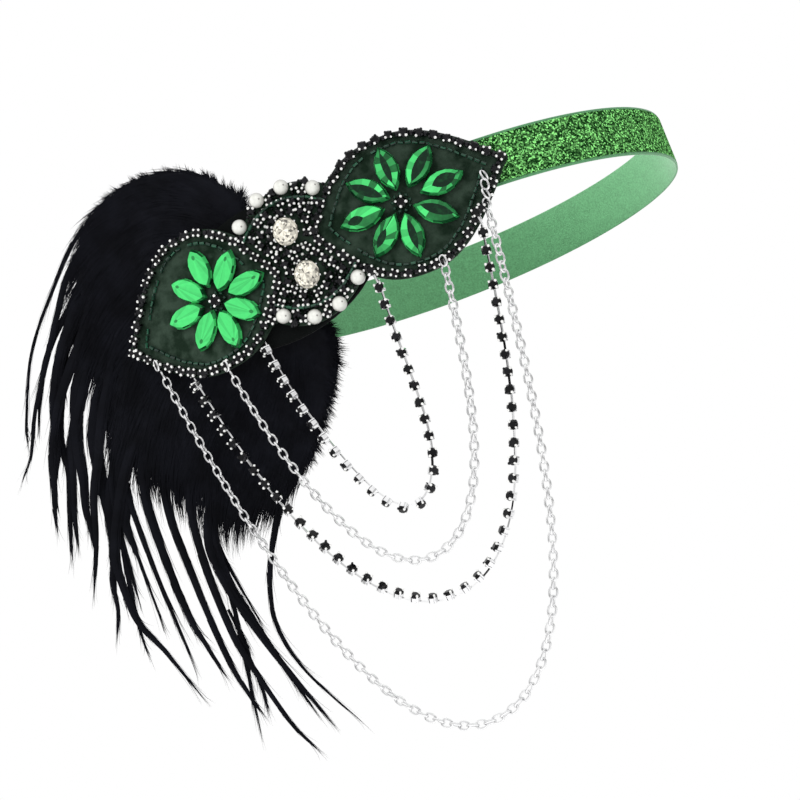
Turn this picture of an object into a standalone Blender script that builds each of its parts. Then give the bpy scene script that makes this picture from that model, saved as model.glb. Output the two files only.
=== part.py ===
"""A feather headband: a glitter ribbon loop that carries a stiff jewelled felt applique.

The head's axis is Z, and the origin is the centre of the ribbon loop at half its width.
The applique is at the front, towards -Y. It is bent along an arc that touches the ribbon.
Places on it are given as along (its length, to the right), up, and out (from the ribbon's face).
Four strands swing below it between its two leaves, and a feather plume stands behind the left one.
"""

import math
from collections import namedtuple

import bmesh
import bpy
from mathutils import Vector

# Driving dimensions, in metres
FIT_GAP = 0.0003

LOOP_LENGTH = 0.192
LOOP_DEPTH = 0.1632
RIBBON_WIDTH = 0.021
RIBBON_THICKNESS = 0.0012
LOOP_STEPS = 72

APPLIQUE_RADIUS = 0.250
FELT_THICKNESS = 0.002
FELT_STEPS = 60
LEAF_HEIGHT = 0.0576
RIGHT_LEAF_LENGTH = 0.084
LEFT_LEAF_LENGTH = 0.078
LEAF_TIP_WIDTH = 0.0012
INNER_FULLNESS = 1.42

# The medallion's middle on the applique, how far each leaf's tip reaches in under the end of the
# rows of pearls, and how far the leaves' middle lines are above the medallion's
MEDALLION_ALONG = -0.0575
MEDALLION_UP = -0.006
RIGHT_LEAF_UNDER = 0.01185
RIGHT_LEAF_RISE = 0.0015
LEFT_LEAF_UNDER = 0.00835
LEFT_LEAF_RISE = -0.0008
MEDALLION_HEIGHT = 0.0566
MEDALLION_WIDTH = 0.050
MEDALLION_SLOPE = 0.057
MEDALLION_ROUNDING = 0.0225
MEDALLION_LEAN = 0.10

PATCH_DROP = 0.002
PATCH_LENGTH = 0.0868
PATCH_HEIGHT = 0.057
PATCH_THICKNESS = 0.0015
PATCH_STEPS = 24

EDGING_INSET = 0.0022
EDGING_RADIUS = 0.0014
EDGING_STEPS = 34
STONE_BED_THICKNESS = 0.0015
STONE_BED_COLUMNS = 6
STONE_BED_ROWS = 9
STONE_BED_SWEEP = math.radians(72)

PEARL_DIAMETER = 0.006
PEARL_PITCH = 0.0109
PEARLS_IN_A_ROW = 4
PEARL_INSET = 0.0014
PEARL_ROUNDING = 0.0195
PEARL_CLEARANCE = 0.0016
PEARL_SIDES = 10
PEARL_RINGS = 6

CLEAR_STONE_WIDTH = 0.0104
CLEAR_STONE_THICKNESS = 0.004
FLOWER_STONE_WIDTH = 0.0052
FLOWER_STONE_THICKNESS = 0.003
PETAL_THICKNESS = 0.003

CHAIN_RADIUS = 0.0011
CHAIN_STEP = 0.0066
CUP_PITCH = 0.007
CUP_WIDTH = 0.0037
CUP_RIM = 0.0021
CUP_STONE_TOP = 0.0029
CUP_END = 0.00005
BAR_WIDTH = 0.0009
BAR_THICKNESS = 0.0007
# Shares of a cup's or bar's width that is its flat top, and of a bar's thickness at its edges
TABLE_WIDTH = 0.45
BAR_EDGE = 0.8
ROUTE_STEPS_PER_CUP = 14

# The plume's size, the place of its middle beside and below the left leaf's, how far left of it
# the plume stops following the applique's arc, and how far back it lies below the leaf
PLUME_SPAN = 0.100
PLUME_DROP = 0.186
PLUME_ASIDE = 0.0065
PLUME_BELOW = 0.0012
PLUME_STRAIGHT = 0.0196
PLUME_SETBACK = 0.005
PLUME_SETBACK_HEIGHT = 0.016
PLUME_SIDES = 12
FEATHER_RIDGE = 0.0011
TIP_THINNING = 0.8

# A leaf of the applique: its widest place, its size, how far its two ends rise, and its outer side
Leaf = namedtuple("Leaf", "along up length outer_rise inner_rise side")
PEARL_ROW_END = (PEARLS_IN_A_ROW - 1) / 2 * PEARL_PITCH
RIGHT_LEAF = Leaf(
    MEDALLION_ALONG + PEARL_ROW_END - RIGHT_LEAF_UNDER + RIGHT_LEAF_LENGTH / 2,
    MEDALLION_UP + RIGHT_LEAF_RISE, RIGHT_LEAF_LENGTH, 0.0035, 0.0025, 1)
LEFT_LEAF = Leaf(
    MEDALLION_ALONG - PEARL_ROW_END + LEFT_LEAF_UNDER - LEFT_LEAF_LENGTH / 2,
    MEDALLION_UP + LEFT_LEAF_RISE, LEFT_LEAF_LENGTH, -0.0042, -0.0040, -1)

# A flower of eight petals round a stone: how far right of and above the leaf's widest place its
# middle is, and a petal's length and width
Flower = namedtuple("Flower", "leaf aside above petal_length petal_width petals")
# The petals of a flower: the turn from the along direction, in degrees, and the tip's distance
# from the flower's middle as a share of half the leaf's height
RIGHT_PETALS = (
    (5, 0.924), (44, 0.863), (92, 0.826), (138, 0.808), (180, 0.881), (225, 0.814), (268, 0.802),
    (323, 0.814),
)
LEFT_PETALS = (
    (4, 0.794), (50, 0.722), (96, 0.811), (137, 0.744), (180, 0.789), (227, 0.717), (276, 0.733),
    (321, 0.717),
)
RIGHT_FLOWER = Flower(RIGHT_LEAF, -0.0026, 0.0006, 0.0175, 0.0086, RIGHT_PETALS)
LEFT_FLOWER = Flower(LEFT_LEAF, 0.0080, -0.0022, 0.0160, 0.0078, LEFT_PETALS)

# A cut stone from its base to its table: the outline's scale, and the height as a share of all
STONE_LEVELS = ((0.86, 0.0), (1.0, 0.30), (0.80, 0.70), (0.52, 1.0))

# The two clear stones of the medallion: places up from its middle and heights over widths
CLEAR_STONES = (("clear_stone_upper", 0.0095, 1.14), ("clear_stone_lower", -0.0098, 1.14))

# The strands: where they hang from the left and right leaf, as shares of half the leaf's length
# towards its outer tip, then their length, and how far the lowest part swings to the right
Strand = namedtuple("Strand", "name left_share right_share length sway")
CUP_STRANDS = (
    Strand("strand_1_cups", -0.515, -0.52, 0.186, 0.008),
    Strand("strand_3_cups", 0.375, 0.545, 0.298, 0.004),
)
CHAIN_STRANDS = (
    Strand("strand_2_chain", -0.055, 0.095, 0.237, 0.0025),
    Strand("strand_4_chain", 0.70, 0.65, 0.412, 0.003),
)
# How the cups of each strand are turned: a share of the strand's length, and degrees from facing
# the front towards the outside of its loop
CUP_TURNS = {
    "strand_1_cups": ((0.0, 75), (0.35, 75), (0.50, 62), (0.60, 30), (0.70, 0), (0.90, 0), (1.0, -15)),
    "strand_3_cups": (
        (0.0, 70), (0.08, 65), (0.15, 0), (0.24, -35), (0.36, -55), (0.48, -70), (0.58, -55), (0.68, -15),
        (0.74, 0), (1.0, 5),
    ),
}

# The plume's body, from its top to its bottom: up as a share of the plume's drop, its left and
# right edge as shares of the span, and its depth as a share of the span
PlumeRow = namedtuple("PlumeRow", "up left right depth")
PLUME_BODY = (
    PlumeRow(0.327, -0.15, -0.05, 0.02),
    PlumeRow(0.314, -0.25, 0.03, 0.06),
    PlumeRow(0.287, -0.36, 0.13, 0.09),
    PlumeRow(0.244, -0.48, 0.20, 0.12),
    PlumeRow(0.190, -0.59, 0.26, 0.14),
    PlumeRow(0.126, -0.68, 0.28, 0.14),
    PlumeRow(0.045, -0.72, 0.29, 0.14),
    PlumeRow(-0.026, -0.71, 0.34, 0.13),
    PlumeRow(-0.090, -0.72, 0.40, 0.12),
    PlumeRow(-0.155, -0.72, 0.42, 0.11),
    PlumeRow(-0.220, -0.69, 0.35, 0.10),
    PlumeRow(-0.284, -0.65, 0.27, 0.09),
    PlumeRow(-0.350, -0.59, 0.18, 0.07),
    PlumeRow(-0.400, -0.50, 0.08, 0.03),
)
# The plume's feathers and the narrow locks below them: root and tip as shares of the span and of
# the drop, how far each bows to the left, its width and thickness as shares of the span, and how
# far its middle lies behind the body's front as a share of the body's depth there
Lock = namedtuple("Lock", "root_along root_up tip_along tip_up bow width thickness back")
PLUME_FEATHERS = (
    Lock(0.02, 0.27, -0.70, -0.08, 0.24, 0.17, 0.028, 0.04),
    Lock(0.08, 0.22, -0.66, -0.26, 0.21, 0.18, 0.028, 0.04),
    Lock(0.13, 0.17, -0.56, -0.38, 0.17, 0.18, 0.028, 0.04),
    Lock(0.17, 0.12, -0.42, -0.45, 0.13, 0.18, 0.028, 0.04),
    Lock(0.20, 0.06, -0.26, -0.47, 0.09, 0.18, 0.028, 0.04),
    Lock(0.22, 0.01, -0.09, -0.45, 0.03, 0.18, 0.028, 0.04),
    Lock(0.24, -0.03, 0.08, -0.41, -0.03, 0.18, 0.028, 0.04),
    Lock(0.22, -0.06, 0.22, -0.32, -0.09, 0.18, 0.028, 0.04),
    Lock(-0.06, 0.22, -0.66, -0.20, 0.20, 0.20, 0.036, 0.90),
    Lock(-0.04, 0.12, -0.50, -0.42, 0.12, 0.22, 0.036, 0.90),
    Lock(-0.02, 0.02, -0.22, -0.46, 0.05, 0.22, 0.036, 0.90),
    Lock(0.02, -0.10, 0.06, -0.42, -0.03, 0.20, 0.036, 0.90),
)
PLUME_LOCKS = (
    Lock(-0.45, 0.20, -0.974, -0.198, 0.10, 0.030, 0.022, 0.60),
    Lock(-0.55, 0.10, -0.91, -0.321, 0.10, 0.040, 0.022, 0.70),
    Lock(-0.60, 0.00, -0.90, -0.386, 0.05, 0.045, 0.022, 0.45),
    Lock(-0.62, -0.10, -0.863, -0.472, 0.04, 0.050, 0.022, 0.60),
    Lock(-0.62, -0.15, -0.851, -0.587, 0.02, 0.050, 0.022, 0.35),
    Lock(-0.60, -0.20, -0.751, -0.640, 0.03, 0.060, 0.022, 0.55),
    Lock(-0.58, -0.22, -0.608, -0.770, 0.10, 0.065, 0.022, 0.25),
    Lock(-0.53, -0.25, -0.656, -0.600, 0.02, 0.050, 0.022, 0.60),
    Lock(-0.47, -0.25, -0.592, -0.705, 0.02, 0.045, 0.022, 0.45),
    Lock(-0.45, -0.25, -0.493, -0.742, 0.06, 0.050, 0.022, 0.60),
    Lock(-0.38, -0.25, -0.413, -0.845, 0.06, 0.060, 0.022, 0.35),
    Lock(-0.35, -0.28, -0.453, -0.882, -0.02, 0.050, 0.022, 0.55),
    Lock(-0.27, -0.28, -0.380, -0.820, 0.03, 0.050, 0.022, 0.25),
    Lock(-0.28, -0.28, -0.250, -0.968, 0.08, 0.060, 0.022, 0.55),
    Lock(-0.22, -0.30, -0.206, -0.890, 0.05, 0.050, 0.022, 0.35),
    Lock(-0.16, -0.30, -0.158, -0.925, 0.08, 0.050, 0.022, 0.55),
    Lock(0.02, -0.30, -0.055, -0.936, 0.13, 0.050, 0.022, 0.35),
)
# The width of a feather or lock from its root to its tip, as shares of its full width
LOCK_TAPER = (0.58, 0.94, 1.0, 0.84, 0.52, 0.04)

# Placement on the bent applique


def applique_point(along, up, out):
    """Return the point at a place on the arc that the applique follows."""
    angle = along / APPLIQUE_RADIUS
    radius = APPLIQUE_RADIUS + out
    centre_y = APPLIQUE_RADIUS - LOOP_DEPTH / 2
    return Vector((radius * math.sin(angle), centre_y - radius * math.cos(angle), up))


def applique_axes(along):
    """Return the along, up and out directions at a place on the applique."""
    angle = along / APPLIQUE_RADIUS
    along_axis = Vector((math.cos(angle), math.sin(angle), 0.0))
    out_axis = Vector((math.sin(angle), -math.cos(angle), 0.0))
    return along_axis, Vector((0.0, 0.0, 1.0)), out_axis


FELT_FRONT = FIT_GAP + FELT_THICKNESS
ON_FELT = FELT_FRONT + FIT_GAP
PATCH_BACK = PATCH_THICKNESS + FIT_GAP
PLUME_ALONG = LEFT_LEAF.along + PLUME_ASIDE
PLUME_UP = LEFT_LEAF.up - PLUME_BELOW


def leaf_share(leaf, along):
    """Return how far a place is from the leaf's widest part, 1 at its outer tip."""
    return leaf.side * (along - leaf.along) / (leaf.length / 2)


def leaf_axis(leaf, share):
    """Return the height of the leaf's bowed middle line."""
    rise = leaf.outer_rise if share > 0 else leaf.inner_rise
    return leaf.up + rise * share * share


def leaf_half_height(share, height):
    """Return half the leaf's height: a cosine, fuller on the inner side."""
    if abs(share) >= 1:
        return 0.0
    fullness = 1.0 if share > 0 else INNER_FULLNESS
    return height / 2 * math.cos(math.pi / 2 * abs(share) ** fullness)


def leaf_edges(leaf, along):
    """Return the leaf's top and bottom edge, or None beside the leaf."""
    share = leaf_share(leaf, along)
    if round(abs(share), 6) > 1:
        return None
    middle = leaf_axis(leaf, share)
    half = max(leaf_half_height(share, LEAF_HEIGHT), LEAF_TIP_WIDTH / 2)
    return middle + half, middle - half


def leaf_inner_edge(leaf, up):
    """Return where the leaf's inner side is at a height: its widest place above or below the leaf."""
    outside, inside = -1.0, 0.0
    for _ in range(24):
        share = (outside + inside) / 2
        if abs(up - leaf_axis(leaf, share)) < leaf_half_height(share, LEAF_HEIGHT):
            inside = share
        else:
            outside = share
    return leaf.along + leaf.side * inside * leaf.length / 2


def medallion_place(offset, height):
    """Return a place of the medallion, whose pearls and stones lean to the left at the top."""
    along = MEDALLION_ALONG + offset - MEDALLION_LEAN * height
    return along, MEDALLION_UP + MEDALLION_SLOPE * offset + height


def medallion_line(along):
    """Return the height of the medallion's middle line."""
    return MEDALLION_UP + MEDALLION_SLOPE * (along - MEDALLION_ALONG)


def medallion_edges(along):
    """Return the medallion's top and bottom edge, or None beside the medallion."""
    offset = along - MEDALLION_ALONG
    if abs(offset) > MEDALLION_WIDTH / 2:
        return None
    half = MEDALLION_HEIGHT / 2 - offset * offset / (2 * MEDALLION_ROUNDING)
    return medallion_line(along) + half, medallion_line(along) - half


def felt_edges(along):
    """Return the top and bottom edge of the felt, the outline of leaves and medallion."""
    pairs = [leaf_edges(LEFT_LEAF, along), leaf_edges(RIGHT_LEAF, along), medallion_edges(along)]
    pairs = [pair for pair in pairs if pair]
    return max(pair[0] for pair in pairs), min(pair[1] for pair in pairs)


# Scene helpers


def new_collection(name):
    collection = bpy.data.collections.new(name)
    bpy.context.scene.collection.children.link(collection)
    return collection


def make_material(name, color, roughness, metallic=0.0):
    material = bpy.data.materials.new(name)
    material.use_nodes = True
    shader = material.node_tree.nodes["Principled BSDF"]
    shader.inputs["Base Color"].default_value = (*color, 1.0)
    shader.inputs["Roughness"].default_value = roughness
    shader.inputs["Metallic"].default_value = metallic
    return material


def add_object(name, mesh, collection, material):
    mesh.materials.append(material)
    obj = bpy.data.objects.new(name, mesh)
    collection.objects.link(obj)
    return obj


def mesh_from(name, points, faces):
    """Make a mesh of a loft's points and faces, with its faces pointing out."""
    mesh = bpy.data.meshes.new(name)
    mesh.from_pydata([tuple(point) for point in points], [], faces)
    shape = bmesh.new()
    shape.from_mesh(mesh)
    bmesh.ops.recalc_face_normals(shape, faces=shape.faces)
    shape.to_mesh(mesh)
    shape.free()
    return mesh


def loft_faces(sections, sides, closed_loop=False):
    """Return the faces of a loft through sections of as many points, with caps at open ends."""
    faces = []
    spans = sections if closed_loop else sections - 1
    for section in range(spans):
        here = section * sides
        there = (section + 1) % sections * sides
        for side in range(sides):
            beside = (side + 1) % sides
            faces.append((here + side, here + beside, there + beside, there + side))
    if not closed_loop:
        last = (sections - 1) * sides
        faces.append(tuple(range(sides - 1, -1, -1)))
        faces.append(tuple(last + side for side in range(sides)))
    return faces


def loft(name, sections, closed_loop=False):
    """Make a closed mesh lofted through lists of points of equal length."""
    sides = len(sections[0])
    points = [point for section in sections for point in section]
    return mesh_from(name, points, loft_faces(len(sections), sides, closed_loop))


def tube(name, points, radius, collection, material, cyclic=False):
    """Make a round tube along a route as a curve with filled caps."""
    curve = bpy.data.curves.new(name, "CURVE")
    curve.dimensions = "3D"
    curve.bevel_depth = radius
    curve.bevel_resolution = 2
    curve.use_fill_caps = True
    spline = curve.splines.new("POLY")
    spline.points.add(len(points) - 1)
    for spline_point, point in zip(spline.points, points):
        spline_point.co = (*point, 1.0)
    spline.use_cyclic_u = cyclic
    return add_object(name, curve, collection, material)


# Ribbon


def make_ribbon(collection, material):
    """Loft the closed ribbon loop through upright sections of the ribbon's width and thickness."""
    sections = []
    for step in range(LOOP_STEPS):
        angle = 2 * math.pi * step / LOOP_STEPS
        outward = Vector((math.cos(angle) / LOOP_LENGTH, math.sin(angle) / LOOP_DEPTH, 0.0)).normalized()
        outer = Vector((LOOP_LENGTH / 2 * math.cos(angle), LOOP_DEPTH / 2 * math.sin(angle), 0.0))
        inner = outer - RIBBON_THICKNESS * outward
        half = Vector((0.0, 0.0, RIBBON_WIDTH / 2))
        sections.append((outer - half, outer + half, inner + half, inner - half))
    mesh = loft("ribbon", sections, closed_loop=True)
    return add_object("ribbon_loop", mesh, collection, material)


# Felt pieces


def make_felt_backing(collection, material):
    """Make the felt that carries the stones: a strip of upright columns, thickened outwards."""
    left = LEFT_LEAF.along - LEFT_LEAF.length / 2
    right = RIGHT_LEAF.along + RIGHT_LEAF.length / 2
    sections = []
    for step in range(FELT_STEPS + 1):
        along = left + (right - left) * step / FELT_STEPS
        top, bottom = felt_edges(along)
        sections.append((
            applique_point(along, bottom, FIT_GAP),
            applique_point(along, top, FIT_GAP),
            applique_point(along, top, FELT_FRONT),
            applique_point(along, bottom, FELT_FRONT),
        ))
    return add_object("felt_backing", loft("felt_backing", sections), collection, material)


def ribbon_leaves_arc(depth):
    """Return how far from the front the ribbon has curved back from the arc by a depth."""
    ribbon_radius = LOOP_LENGTH ** 2 / (2 * LOOP_DEPTH)
    return math.sqrt(2 * depth / (1 / ribbon_radius - 1 / APPLIQUE_RADIUS))


def make_feather_patch(collection, material):
    """Make the oval felt patch behind the backing, from beside the ribbon to over the plume."""
    middle = -ribbon_leaves_arc(PATCH_BACK) - PATCH_LENGTH / 2
    up = MEDALLION_UP - PATCH_DROP
    sections = []
    for step in range(PATCH_STEPS + 1):
        angle = math.pi * (step + 0.5) / (PATCH_STEPS + 1)
        along = middle - PATCH_LENGTH / 2 * math.cos(angle)
        half = PATCH_HEIGHT / 2 * math.sin(angle)
        sections.append((
            applique_point(along, up - half, -PATCH_THICKNESS),
            applique_point(along, up + half, -PATCH_THICKNESS),
            applique_point(along, up + half, 0.0),
            applique_point(along, up - half, 0.0),
        ))
    return add_object("feather_patch", loft("feather_patch", sections), collection, material)


# Stones and pearls


def place_on_applique(obj, along, up, out, turn):
    """Set an object on the applique, its Z outwards and its X turned from the along direction."""
    along_axis, up_axis, out_axis = applique_axes(along)
    x_axis = math.cos(turn) * along_axis + math.sin(turn) * up_axis
    y_axis = out_axis.cross(x_axis)
    rotation = obj.matrix_world.to_3x3()
    rotation.col[0] = x_axis
    rotation.col[1] = y_axis
    rotation.col[2] = out_axis
    obj.rotation_euler = rotation.to_euler()
    obj.location = applique_point(along, up, out)


def cut_stone(name, outline, thickness):
    """Make a faceted stone on a flat base: a base, a girdle and a table over one outline."""
    sections = []
    for scale, height in STONE_LEVELS:
        sections.append([Vector((x * scale, y * scale, height * thickness)) for x, y in outline])
    return loft(name, sections)


def navette_outline(length, width):
    """Return the eight corners of a pointed oval."""
    corners = []
    for share in (1.0, 0.6, 0.0, -0.6):
        corners.append((share * length / 2, width / 2 * (1 - share * share)))
    return corners + [(-x, -y) for x, y in corners]


def round_outline(width, height, sides):
    """Return the corners of an oval."""
    corners = []
    for side in range(sides):
        angle = 2 * math.pi * (side + 0.5) / sides
        corners.append((width / 2 * math.cos(angle), height / 2 * math.sin(angle)))
    return corners


def make_flower(side, flower, collection, petal_material, stone_material):
    along = flower.leaf.along + flower.aside
    up = flower.leaf.up + flower.above
    outline = navette_outline(flower.petal_length, flower.petal_width)
    petal = cut_stone(side + "_petal", outline, PETAL_THICKNESS)
    for number, (turn_degrees, reach) in enumerate(flower.petals, start=1):
        turn = math.radians(turn_degrees)
        middle = reach * LEAF_HEIGHT / 2 - flower.petal_length / 2
        obj = add_object("%s_petal_%d" % (side, number), petal.copy(), collection, petal_material)
        place = (along + middle * math.cos(turn), up + middle * math.sin(turn))
        place_on_applique(obj, place[0], place[1], ON_FELT, turn)
    outline = round_outline(FLOWER_STONE_WIDTH, FLOWER_STONE_WIDTH, 8)
    mesh = cut_stone(side + "_flower_stone", outline, FLOWER_STONE_THICKNESS)
    stone = add_object(side + "_flower_stone", mesh, collection, stone_material)
    place_on_applique(stone, along, up, ON_FELT, 0.0)


def make_clear_stones(collection, material):
    out = ON_FELT + STONE_BED_THICKNESS + FIT_GAP
    for name, up, proportion in CLEAR_STONES:
        outline = round_outline(CLEAR_STONE_WIDTH, CLEAR_STONE_WIDTH * proportion, 12)
        stone = add_object(name, cut_stone(name, outline, CLEAR_STONE_THICKNESS), collection, material)
        place = medallion_place(0.0, up)
        place_on_applique(stone, place[0], place[1], out, 0.0)


def make_pearls(collection, material):
    """Make the pearls on two arcs along the medallion's top and bottom edge."""
    for edge, side in (("upper", 1), ("lower", -1)):
        for number in range(PEARLS_IN_A_ROW):
            offset = number * PEARL_PITCH - PEARL_ROW_END
            reach = MEDALLION_HEIGHT / 2 - PEARL_INSET - offset * offset / (2 * PEARL_ROUNDING)
            along, up = medallion_place(offset, side * reach)
            mesh = bpy.data.meshes.new("pearl")
            shape = bmesh.new()
            bmesh.ops.create_uvsphere(
                shape, u_segments=PEARL_SIDES, v_segments=PEARL_RINGS, radius=PEARL_DIAMETER / 2)
            shape.to_mesh(mesh)
            shape.free()
            mesh.shade_smooth()
            pearl = add_object("pearl_%s_%d" % (edge, number + 1), mesh, collection, material)
            place_on_applique(pearl, along, up, ON_FELT + PEARL_DIAMETER / 2, 0.0)


def edging_loop(leaf):
    """Return the points of the row of stones round a leaf, inside its edge."""
    half_length = leaf.length / 2 - 2 * EDGING_INSET
    height = LEAF_HEIGHT - 2 * EDGING_INSET
    points = []
    for step in range(EDGING_STEPS):
        angle = 2 * math.pi * step / EDGING_STEPS
        share = math.cos(angle)
        half = leaf_half_height(share, height)
        along = leaf.along + leaf.side * share * half_length
        up = leaf_axis(leaf, share) + math.copysign(half, math.sin(angle))
        points.append(applique_point(along, up, ON_FELT + EDGING_RADIUS))
    return points


def make_stone_bed(collection, material):
    """Make the bed of small stones inside the arcs of pearls, between the leaves' inner edges."""
    reach = MEDALLION_HEIGHT / 2 - PEARL_INSET - PEARL_DIAMETER / 2 - PEARL_CLEARANCE
    sections = []
    for row in range(STONE_BED_ROWS):
        angle = STONE_BED_SWEEP * (2 * row / (STONE_BED_ROWS - 1) - 1)
        height = reach * math.sin(angle)
        widest = reach * math.cos(angle)
        middle, up = medallion_place(0.0, height)
        left = max(middle - widest, leaf_inner_edge(LEFT_LEAF, up))
        right = min(middle + widest, leaf_inner_edge(RIGHT_LEAF, up))
        back = []
        front = []
        for column in range(STONE_BED_COLUMNS + 1):
            along = left + (right - left) * column / STONE_BED_COLUMNS
            tilt = MEDALLION_SLOPE * (along - middle)
            back.append(applique_point(along, up + tilt, ON_FELT))
            front.append(applique_point(along, up + tilt, ON_FELT + STONE_BED_THICKNESS))
        sections.append(back + front[::-1])
    return add_object("medallion_stones", loft("medallion_stones", sections), collection, material)


# Strands


def catenary(start, end, length, count):
    """Return evenly spaced points of a chain of the given length between two points."""
    across = math.hypot(end.x - start.x, end.y - start.y)
    rise = end.z - start.z
    low, high = across / 60, across * 60  # the curve's scale lies between these
    for _ in range(100):
        scale = (low + high) / 2
        if 2 * scale * math.sinh(across / (2 * scale)) > math.sqrt(length ** 2 - rise ** 2):
            low = scale
        else:
            high = scale
    lowest = (across - scale * math.log((length + rise) / (length - rise))) / 2
    points = []
    for step in range(count + 1):
        arc = length * step / count - scale * math.sinh(lowest / scale)
        place = lowest + scale * math.asinh(arc / scale)
        height = scale * (math.cosh((place - lowest) / scale) - math.cosh(lowest / scale))
        point = start.lerp(end, place / across)
        points.append(Vector((point.x, point.y, start.z + height)))
    return points


def hang_point(leaf, share, half_width):
    """Return where a strand hangs, just below the felt's edge and as wide as its end."""
    along = leaf.along + leaf.side * share * leaf.length / 2
    up = min(felt_edges(along + side * half_width)[1] for side in (-1, 0, 1)) - FIT_GAP
    return applique_point(along, up, FELT_FRONT)


def strand_route(strand, half_width, count):
    """Return a strand's route: a catenary whose lowest part is swung a little to the side."""
    start = hang_point(LEFT_LEAF, strand.left_share, half_width)
    end = hang_point(RIGHT_LEAF, strand.right_share, half_width)
    side = Vector((end.x - start.x, end.y - start.y, 0.0)).normalized()
    points = catenary(start, end, strand.length, count)
    swung = []
    for step, point in enumerate(points):
        swing = strand.sway * math.sin(math.pi * step / count) ** 2
        swung.append(point + swing * side)
    return swung


def make_chain_strand(strand, collection, material):
    count = round(strand.length / CHAIN_STEP)
    points = strand_route(strand, CHAIN_RADIUS, count)
    return tube(strand.name, points, CHAIN_RADIUS, collection, material)


def table_value(table, share):
    """Read a value between the rows of a table of shares and values."""
    for (share_before, before), (share_after, after) in zip(table, table[1:]):
        if share <= share_after:
            return before + (after - before) * (share - share_before) / (share_after - share_before)
    return table[-1][1]


def cup_section(middle, side, out, half_width, rim, table_half, top):
    """Return a section across a cup or bar: base, rim and the stone's table above it."""
    return [
        middle - half_width * side,
        middle + half_width * side,
        middle + half_width * side + rim * out,
        middle + table_half * side + top * out,
        middle - table_half * side + top * out,
        middle - half_width * side + rim * out,
    ]


def make_cup_strand(strand, collection, material):
    """Loft a strand of cup-set stones joined by bars, turned as the table says."""
    cups = round(strand.length / CUP_PITCH)
    fine = cups * ROUTE_STEPS_PER_CUP
    route = strand_route(strand, BAR_WIDTH, fine)
    start_to_end = Vector((route[-1].x - route[0].x, route[-1].y - route[0].y, 0.0)).normalized()
    front = Vector((start_to_end.y, -start_to_end.x, 0.0))
    half = CUP_WIDTH / 2
    pitch = strand.length / cups
    # Places along a cup from its middle, and the section there: half width, rim, table half width, top
    bar = (BAR_WIDTH / 2, BAR_THICKNESS * BAR_EDGE, BAR_WIDTH / 2 * TABLE_WIDTH, BAR_THICKNESS)
    cup_shape = (half, CUP_RIM, half * TABLE_WIDTH, CUP_STONE_TOP)
    places = ((-half, bar), (CUP_END - half, cup_shape), (half - CUP_END, cup_shape), (half, bar))
    sections = []
    for cup in range(cups):
        centre = (cup + 0.5) * pitch
        for offset, shape in places:
            sections.append((centre + offset, centre, shape))
    sections.insert(0, (0.0, pitch / 2, bar))
    sections.append((strand.length, strand.length - pitch / 2, bar))
    rings = []
    for distance, centre, shape in sections:
        index = min(int(distance / strand.length * fine), fine - 1)
        step = distance / strand.length * fine - index
        middle = route[index].lerp(route[index + 1], step)
        near = min(max(round(centre / strand.length * fine), 1), fine - 1)
        tangent = (route[near + 1] - route[near - 1]).normalized()
        outside = tangent.cross(front).normalized()
        facing = outside.cross(tangent).normalized()
        turn = math.radians(table_value(CUP_TURNS[strand.name], centre / strand.length))
        out = math.cos(turn) * facing + math.sin(turn) * outside
        side = tangent.cross(out)
        base = middle - CUP_RIM / 2 * out
        rings.append(cup_section(base, side, out, *shape))
    return add_object(strand.name, loft(strand.name, rings), collection, material)


# Plume


def plume_front(x, z):
    """Return the depth of the plume body's front, a ridge behind the patch and further back below."""
    straight_from = PLUME_ALONG - PLUME_STRAIGHT
    radius = APPLIQUE_RADIUS - PATCH_BACK - FEATHER_RIDGE
    bend = max(x, straight_from)
    y = APPLIQUE_RADIUS - LOOP_DEPTH / 2 - math.sqrt(radius ** 2 - bend ** 2)
    if x < straight_from:
        y += (straight_from - x) * abs(straight_from) / math.sqrt(radius ** 2 - straight_from ** 2)
    leaf_bottom = LEFT_LEAF.up - LEAF_HEIGHT / 2
    below = (leaf_bottom - z) / PLUME_SETBACK_HEIGHT + 0.5
    ease = min(max(below, 0.0), 1.0)
    return y + PLUME_SETBACK * ease * ease * (3 - 2 * ease)


def plume_place(along_share, up_share):
    return PLUME_ALONG + PLUME_SPAN * along_share, PLUME_UP + PLUME_DROP * up_share


def plume_depth(z):
    """Return the depth of the plume's body at a height, read between its rows."""
    up = (z - PLUME_UP) / PLUME_DROP
    table = [(-row.up, row.depth) for row in PLUME_BODY]
    return PLUME_SPAN * table_value(table, max(-up, table[0][0]))


def make_plume_body():
    """Loft the plume's body through level sections, each a flat oval."""
    sections = []
    for row in PLUME_BODY:
        left, z = plume_place(row.left, row.up)
        right = plume_place(row.right, row.up)[0]
        half_depth = row.depth * PLUME_SPAN / 2
        section = []
        for side in range(PLUME_SIDES):
            angle = 2 * math.pi * side / PLUME_SIDES
            x = (left + right) / 2 + (right - left) / 2 * math.cos(angle)
            bulge = math.copysign(math.sqrt(abs(math.sin(angle))), math.sin(angle))
            y = plume_front(x, z) + half_depth * (1 + bulge)
            section.append(Vector((x, y, z)))
        sections.append(section)
    return loft("plume_body", sections)


def lock_place(lock, share):
    """Return the place along the bowed middle line of a feather or lock, to the right and up."""
    root_x, root_z = plume_place(lock.root_along, lock.root_up)
    tip_x, tip_z = plume_place(lock.tip_along, lock.tip_up)
    bow = lock.bow * PLUME_SPAN * 4 * share * (1 - share)
    return root_x + (tip_x - root_x) * share - bow, root_z + (tip_z - root_z) * share


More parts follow.
